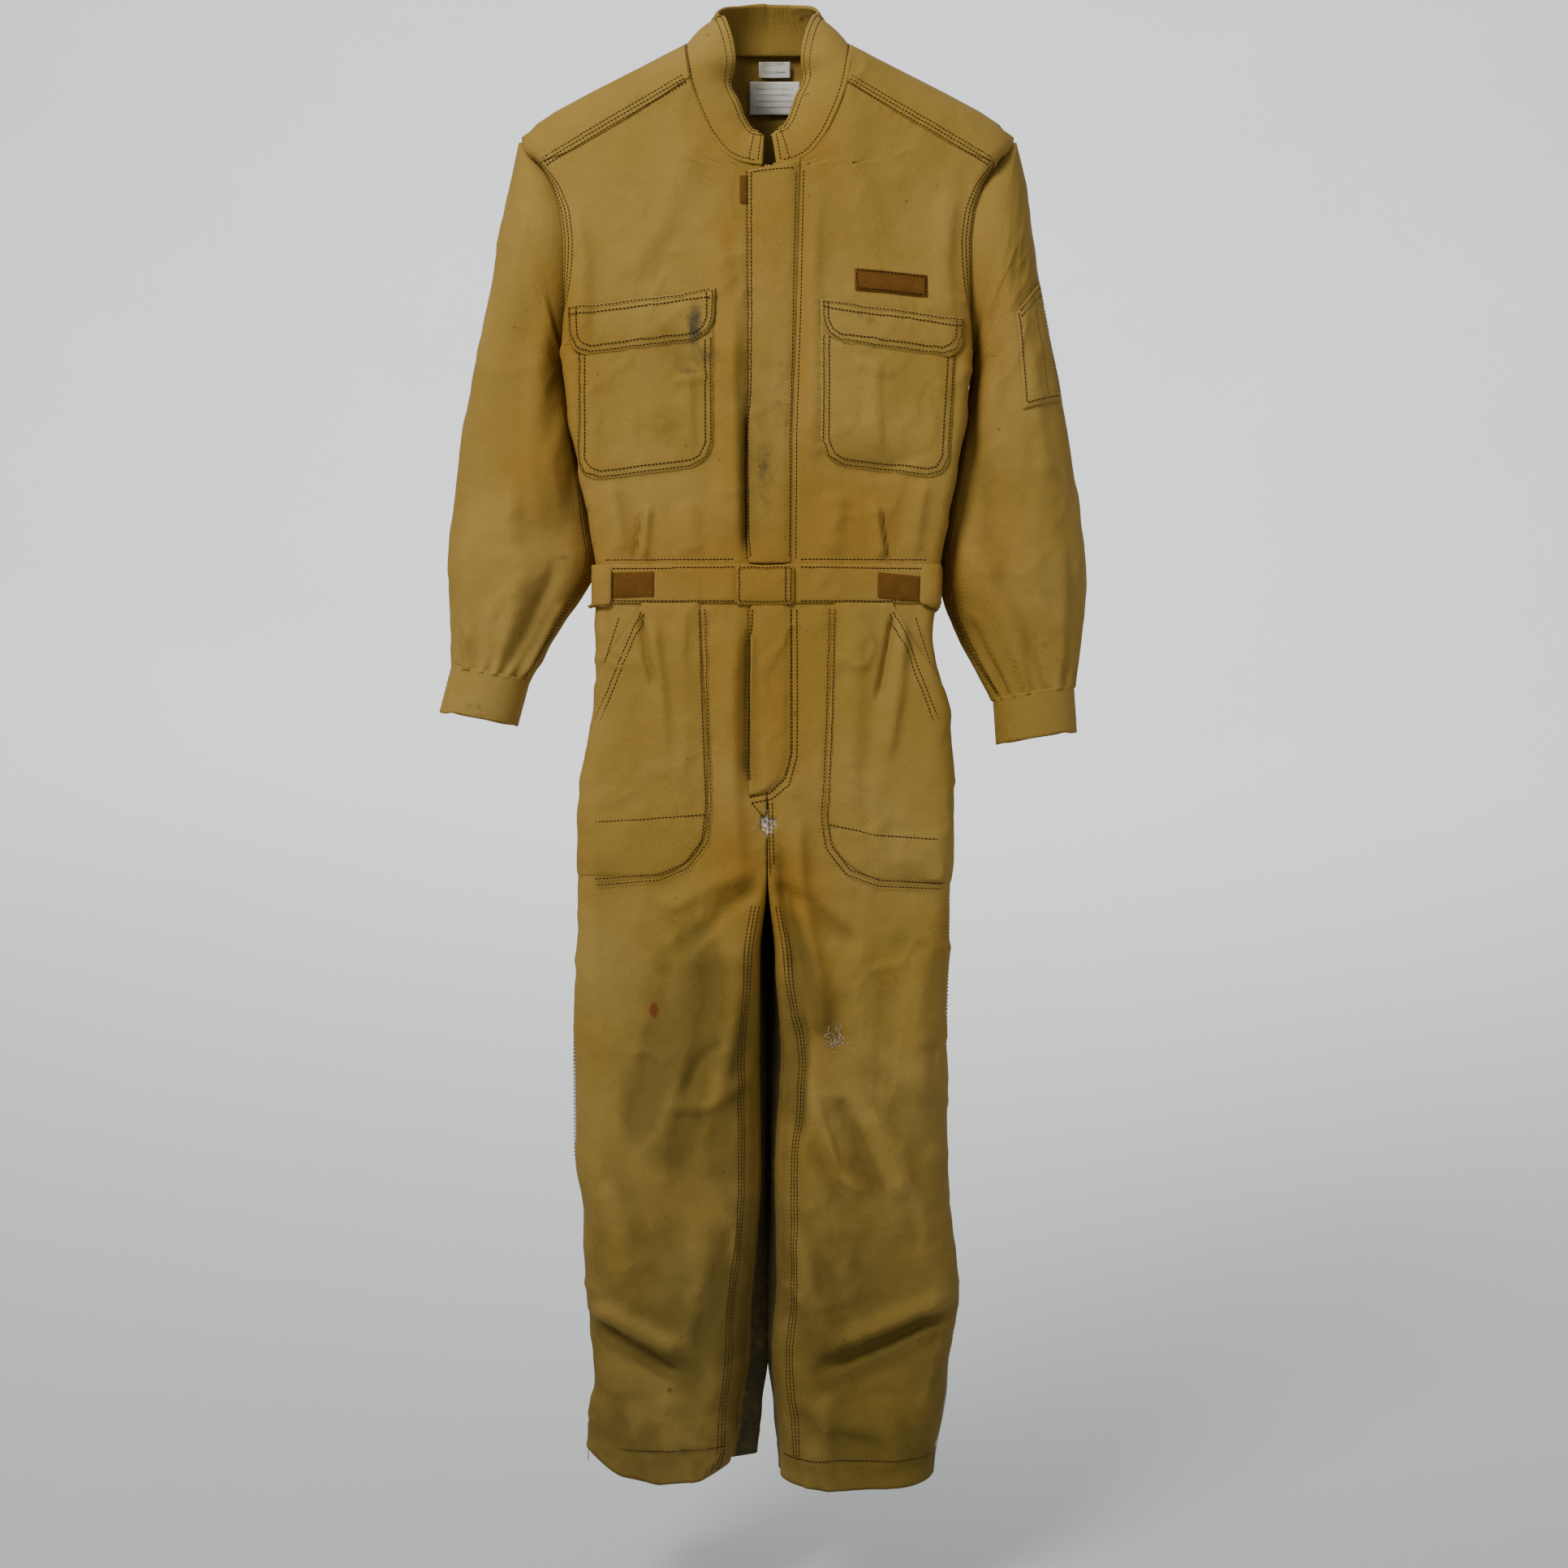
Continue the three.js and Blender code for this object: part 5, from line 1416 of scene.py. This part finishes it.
# the pale lining behind the worn-through place, and frayed threads there and on one knee
col, row = np.meshgrid(np.linspace(-14, 14, 15), np.linspace(-15, 15, 15))
p, n = frontSurface(-1.7)(tear["middle"][0] + col, tear["middle"][1] + row)
p = p + n * (0.5 * lattice(col / 4, row / 5, 12))[..., None]
lining = linenMaterial()
cloth("tornLining", [{"p": p, "stain": {k: 0 * col for k in stainsAndShade}}], "garment", thick=0.5,
      material=lining)
frayedPlaces = [((70, -1044), 9, 15, 46), ((0, -822), 10, 11, 14)]  # middle, half width, half height, threads
random = np.random.RandomState(5)
frays = []
starts = [(x + random.normal(0, 0.5) * wide, z + random.normal(0, 0.5) * tall)
          for (x, z), wide, tall, count in frayedPlaces for _ in range(count)]
for x0, z0 in starts:
    angle, length = random.uniform(0, math.pi), random.uniform(3, 9)
    t = np.linspace(0, 1, 6)
    x = x0 + np.cos(angle) * length * t + random.normal(0, 0.5) * t * t
    z = z0 + np.sin(angle) * length * t + random.normal(0, 1.0) * t * t
    p, n = frontSurface(0.5)(x, z)
    frays.append((p + n * (np.sin(np.pi * t) * random.uniform(0.2, 1.4))[:, None], n))

# stitching

onBody, onPocket, onFlap = frontSurface(0.3), frontSurface(3.2), frontSurface(6.0)
onPlacket, onTab, onBand = frontSurface(4.0), frontSurface(6.0), frontSurface(2.0)
onYoke, onLeg, onHem = frontSurface(1.2), frontSurface(0.6), frontSurface(1.4)
insets = (2.5, 8.5)  # of the double rows on pockets and flaps


def pouchLine(place, slope, inset, corner, nip, rise, down, taper=0):
    # down one side of a pocket or a flap, round its lower corners and up the other side
    x0, x1, z0, z1 = place
    low = z0 + rise + inset * 0.5
    points = [(x0 + inset, z1 - down), (x0 + inset, z0 + corner), (x0 + inset + nip, low),
              (x0 + corner, z0 + inset), (x1 - corner - taper, z0 + inset), (x1 - inset - nip - taper, low),
              (x1 - inset - taper, z0 + corner), (x1 - inset - taper * 0.25, z1 - down)]
    return [(x, z - slope * (x - x0)) for x, z in points]


thighSeams = {  # inner seam, band seam, and the side on which their second rows lie
    1: ([(69, -604), (66, -712), (61, -818), (65, -844), (84, -868), (114, -879), (178, -882)],
        [(63, -822), (110, -833), (178, -838)], -1),
    -1: ([(-69, -604), (-66, -700), (-62, -800), (-66, -838), (-84, -862), (-112, -873), (-176, -878)],
         [(-63, -812), (-110, -816), (-178, -820)], 1),
}
for s, word in sides:
    sew("garment", onYoke, [(s * x, yokeSeam(x)) for x in (83, 140, 190, 227)], (-2 * s, 2 * s, 6 * s))
    own, flap = chest[s], word + "_pocket_flap"
    slope = own["slope"]
    for inset in insets:
        sew(flap, onFlap, pouchLine(own["flap"], slope, inset, 22, 5, 9, 2))
    x0, x1, _, z1 = own["flap"]
    for inset in insets:
        sew(flap, onFlap, [(x, z1 - inset - slope * (x - x0)) for x in (x0 + 2, x1 - 2)])
    for inset in insets:
        sew("garment", onPocket, pouchLine(own["pocket"], slope, inset, 24, 6, 8, 35, 8 if s > 0 else 0))
    # waistband rows
    sew("garment", onBand, [(s * 34, -561), (s * 110, -562), (s * 160, -562)])
    sew("garment", onBand, [(s * 34, -595), (s * 110, -595), (s * 168, -594)])
    sew("garment", onBody, [(s * 34, -553), (s * 110, -553), (s * 165, -553)])
    # thigh pocket: inner pair and curve, band, slanted opening
    leg = word + "_leg"
    inner, band, aside = thighSeams[s]
    sew(leg, onPocket, inner, (0, 6 * aside))
    sew(leg, onPocket, band)
    sew(leg, onPocket, [(s * 129, -606), (s * 150, -655), (s * 174, -716)], (0, 5 * aside))
    sew(leg, onBody, [(s * 151, -612), (s * 176, -690)])

sew("storm_placket", onPlacket, [(-16, -160), (-16, -300), (-17, -420), (-16, -553)], (0, -5))
sew("storm_placket", onPlacket, [(29.5, -160), (27, -300), (23.5, -420), (22.5, -553)])
sew("garment", onBody, [(37, -158), (34, -300), (30, -420), (29, -553)])
sew("storm_placket", onPlacket, [(-14, -160), (10, -157.5), (29, -155.5)])
sew("fly_placket", onPlacket, [(-15, -604), (-16, -780)], (0, -5))
sew("left_leg", onLeg, [(24.5, -604), (25, -700), (25, -750), (18, -776), (3, -790), (-19, -795)])
sew("left_leg", onLeg, [(30, -604), (30.5, -700), (30, -754), (22, -782), (5, -796), (-19, -801)])
sew("belt_tab", onTab, [(-29, -562), (24, -562), (24, -595.5), (-29, -595.5), (-29, -562)])
sew("belt_tab", onTab, [(18.5, -562), (18.5, -595)])
# crossed rows at the crotch, then the hems and the name patch
sew("left_leg", onLeg, [(1, -800), (2, -840), (3, -875)], (0, 4))
sew("right_leg", onLeg, [(-16, -800), (-6, -812), (0, -822)])
sew("right_leg", onHem, [(-182, -1461), (-120, -1463), (-44, -1461)])
sew("left_leg", onHem, [(18, -1473), (90, -1474), (172, -1473)])
sew("garment", frontSurface(2.6), [(91, -259), (161, -265.5), (161, -284), (91, -277.5), (91, -259)])


def armholeRow(s, side, inset):
    # a row on the body's edge beside the armhole
    z = np.linspace(-136, -326, 70)
    end = bodySection(z, side)[2]
    p = bodyPoint(s * (end - inset), z, side)
    du = bodyPoint(s * (end - inset - 1.0), z, side)
    dz = bodyPoint(s * (bodySection(z + 1.0, side)[2] - inset), z + 1.0, side)
    n = np.cross(du - p, dz - p)
    n = n / np.linalg.norm(n, axis=-1, keepdims=True)
    facing = p - np.stack([0 * z, 0 * z + shape["seamY"], z], -1)
    facing[..., 2] = 0
    n = n * np.sign((n * facing).sum(-1, keepdims=True))
    relief = (frontRelief if side < 0 else backRelief)(p[..., 0], p[..., 2])
    fade = smooth((0 * end + inset) / 24)
    return p + n * (relief * fade + 0.4)[..., None], n


def sleeveSurface(s):
    def at(a, b):
        return sleeveAt(a / 300, b / 540, s, 0.4)
    return at


def outseamRow(s, row):
    z = np.linspace(-625, hemLine[s] + 6, 240)
    full = trouserPoint(np.ones_like(z), z, s, -1)[2]
    p, _, _ = trouserPoint((full - row) / full, z, s, -1)
    n = np.zeros_like(p)
    n[..., 0] = s
    return p + n * 0.4, n


def inseamRow(s, row):
    z = np.linspace(-905, hemLine[s] + 6, 200)
    ri = innerCorner(z)
    full = trouserPoint(np.ones_like(z), z, s, -1)[2]
    p, _, fromIn = trouserPoint((ri * 0.75 + row) / full, z, s, -1)
    middleX = s * (trouserInner[s](z) + ri)
    middleY = shape["seamY"] - trouserFront(z) + ri
    toward = np.stack([p[..., 0] - middleX, p[..., 1] - middleY, 0 * z], -1)
    n = toward / np.maximum(np.linalg.norm(toward, axis=-1, keepdims=True), 1e-6)
    relief = frontRelief(p[..., 0], p[..., 2]) * smooth(fromIn / 18)
    return p + n * (relief + 0.4)[..., None], n


def backYokeRow(s, row):
    x = np.linspace(4, 244, 80) * s
    z = 0 * x + shape["yokeBack"] + row
    p = bodyPoint(x, z, 1)
    n = np.zeros_like(p)
    n[..., 1] = 1
    return p + n * (backRelief(x, z) + 1.3)[..., None], n


underarm = [(0.455 * 300, 0.45 * 540), (0.44 * 300, 0.7 * 540), (0.425 * 300, 0.985 * 540)]
for s, word in sides:
    for side in (-1, 1):
        for inset in (3, 7, 11):
            stitch("garment", *armholeRow(s, side, inset))
    sew(word + "_sleeve", sleeveSurface(s), underarm, (-4, 0, 4))
    for down in (5, 41):
        turns = np.linspace(0.03, 0.97, 160)
        stitch(word + "_sleeve", *cuffAt(turns, 0 * turns + down, s, cuff["outsideProud"] + 0.3))
    for row in (0, 4, 8):
        stitch("garment", *backYokeRow(s, row))
    for row in (4, 8, 12):
        stitch(word + "_leg", *outseamRow(s, row))
        stitch(word + "_leg", *inseamRow(s, row))
t = np.linspace(0.285, 0.47, 40)
for turn in (0.085, 0.145, 0.225):
    stitch("left_sleeve", *sleeveAt(0 * t + turn, t, 1, 3.0))
for t in (0.283, 0.297, 0.47):
    turn = np.linspace(0.085, 0.225, 26)
    stitch("left_sleeve", *sleeveAt(turn, 0 * turn + t, 1, 3.0))

dash = {"length": 2.9, "gap": 0.9, "wide": 1.3, "high": 0.55}


def stitchMesh(name, rows, material=None):
    random = np.random.RandomState(len(rows) + 7)
    points, faces, count = [], [], 0
    for p, n in rows:
        step = np.linalg.norm(np.diff(p, axis=0), axis=1)
        run = np.concatenate([[0], np.cumsum(step)])
        starts = np.arange(0, run[-1] - dash["length"], dash["length"] + dash["gap"])
        if not len(starts):
            continue
        starts = starts + random.uniform(-0.15, 0.15, len(starts))
        cross = []
        for t in (0, 0.5, 1):
            where = starts + dash["length"] * t
            c = np.stack([np.interp(where, run, p[:, k]) for k in range(3)], 1)
            m = np.stack([np.interp(where, run, n[:, k]) for k in range(3)], 1)
            m = m / np.maximum(np.linalg.norm(m, axis=1, keepdims=True), 1e-9)
            cross.append((c, m))
        along = cross[2][0] - cross[0][0]
        along = along / np.maximum(np.linalg.norm(along, axis=1, keepdims=True), 1e-9)
        ring = []
        for (c, m), high, wide in zip(cross, (-0.15, dash["high"], -0.15), (0.6, 1, 0.6)):
            aside = np.cross(along, m) * dash["wide"] / 2 * wide
            ring += [c - aside - m * 0.2, c + m * high, c + aside - m * 0.2]
        block = np.stack(ring, 1)
        points.append(block.reshape(-1, 3))
        base = count + 9 * np.arange(len(starts))[:, None]
        for quad in ((0, 3, 4, 1), (1, 4, 5, 2), (3, 6, 7, 4), (4, 7, 8, 5), (0, 2, 5, 3), (3, 5, 8, 6)):
            faces.append(base + np.array(quad))
        for tri in ((0, 1, 2), (6, 8, 7)):
            faces.append(np.concatenate([base + np.array(tri), base + tri[0]], 1))
        count += 9 * len(starts)
    points = np.concatenate(points) * mm
    mesh = bpy.data.meshes.new(name)
    mesh.from_pydata(points.tolist(), [], [list(dict.fromkeys(f)) for f in np.concatenate(faces).tolist()])
    store(mesh, "place", "FLOAT_VECTOR", "vector", points)
    mesh.update()
    obj = bpy.data.objects.new(name, mesh)
    bpy.context.scene.collection.objects.link(obj)
    obj.data.materials.append(material or thread)
    return obj


for body, rows in stitchRows.items():
    obj = stitchMesh(body.replace("_", " ").title().replace(" ", "") + "Stitching", rows)
    attach(obj, body)
dash.update(length=2.0, gap=0.1, wide=0.5, high=0.3)
obj = stitchMesh("frayedThreads", frays, lining)
attach(obj, "left_leg")
marks = []
for *_, half, low, high, count in labels.values():
    for z in np.linspace(low, high, count):
        x = labelMiddle + np.linspace(-half, half, 30)
        p = bodyPoint(x, 0 * x + z, 1)
        marks.append((p - np.array([0, 4.6, 0]), np.array([0, -1.0, 0]) + 0 * p))
obj = stitchMesh("labelLines", marks)
attach(obj, "garment")
print("stitching made")

# the metal zip keeps its own solids

for node in ("left_zip_teeth", "right_zip_teeth", "zip_bottom_stop", "zip_slider", "left_zip_tape",
             "right_zip_tape"):
    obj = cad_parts[node]
    co = np.zeros(len(obj.data.vertices) * 3, np.float32)
    obj.data.vertices.foreach_get("co", co)
    store(obj.data, "place", "FLOAT_VECTOR", "vector", co)
    material = cotton if "tape" in node else brass
    obj.data.materials.clear()
    obj.data.materials.append(material)

# floor, lights and camera

room = {"floor": -1.64, "radius": 7.0, "flat": 0.9, "height": 5.5}


def backdrop():
    rings, turns = 40, 96
    points, faces = [(0, 0, room["floor"])], []
    for i in range(1, rings + 1):
        t = i / rings
        arc = max(0.0, (t - 0.15) / 0.85)
        r = room["flat"] * min(1, t / 0.15) + (room["radius"] - room["flat"]) * math.sin(arc * math.pi / 2)
        z = room["floor"] + room["height"] * (1 - math.cos(arc * math.pi / 2))
        around = [2 * math.pi * k / turns for k in range(turns)]
        points += [(r * math.cos(a), r * math.sin(a), z) for a in around]
    for k in range(turns):
        faces.append((0, 1 + k, 1 + (k + 1) % turns))
    for i in range(rings - 1):
        for k in range(turns):
            a, b = 1 + i * turns + k, 1 + i * turns + (k + 1) % turns
            faces.append((a, a + turns, b + turns, b))
    mesh = bpy.data.meshes.new("backdrop")
    mesh.from_pydata(points, [], faces)
    mesh.shade_smooth()
    obj = bpy.data.objects.new("backdrop", mesh)
    bpy.context.scene.collection.objects.link(obj)
    mesh.materials.append(backdropMaterial())


backdrop()
lamps = {  # place, size and power
    "key": ((-1.4, -2.2, 1.45), 1.1, 96),
    "fill": ((2.2, -2.6, 0.3), 2.2, 10),
    "back": ((0.6, 3.0, 1.4), 2.4, 30),
}
for name, (place, size, power) in lamps.items():
    data = bpy.data.lights.new(name, "AREA")
    data.size, data.energy = size, power
    lamp = bpy.data.objects.new(name, data)
    lamp.location = place
    aim = np.array([0, -0.05, -0.7]) - np.array(place)
    lamp.rotation_euler = Vector(aim).to_track_quat("-Z", "Y").to_euler()
    bpy.context.scene.collection.objects.link(lamp)
wash = bpy.data.lights.new("wallWash", "AREA")
wash.size, wash.energy = 3.0, 400
washLamp = bpy.data.objects.new("wallWash", wash)
washLamp.location = (0, 1.4, 3.4)
washLamp.rotation_euler = Vector((0, 5.6, -2.6)).to_track_quat("-Z", "Y").to_euler()
bpy.context.scene.collection.objects.link(washLamp)
world = bpy.data.worlds.new("softLight")
world.use_nodes = True
world.node_tree.nodes["Background"].inputs[0].default_value = (0.86, 0.9, 1, 1)
world.node_tree.nodes["Background"].inputs[1].default_value = 0.33
bpy.context.scene.world = world

camera = bpy.data.objects.new("camera", bpy.data.cameras.new("camera"))
camera.location = (0.017, -2.2, -0.781)
camera.rotation_euler = (math.pi / 2, 0, 0)
camera.data.sensor_width = 36
camera.data.lens = 47.1
bpy.context.scene.collection.objects.link(camera)
bpy.context.scene.camera = camera
print("stage made")
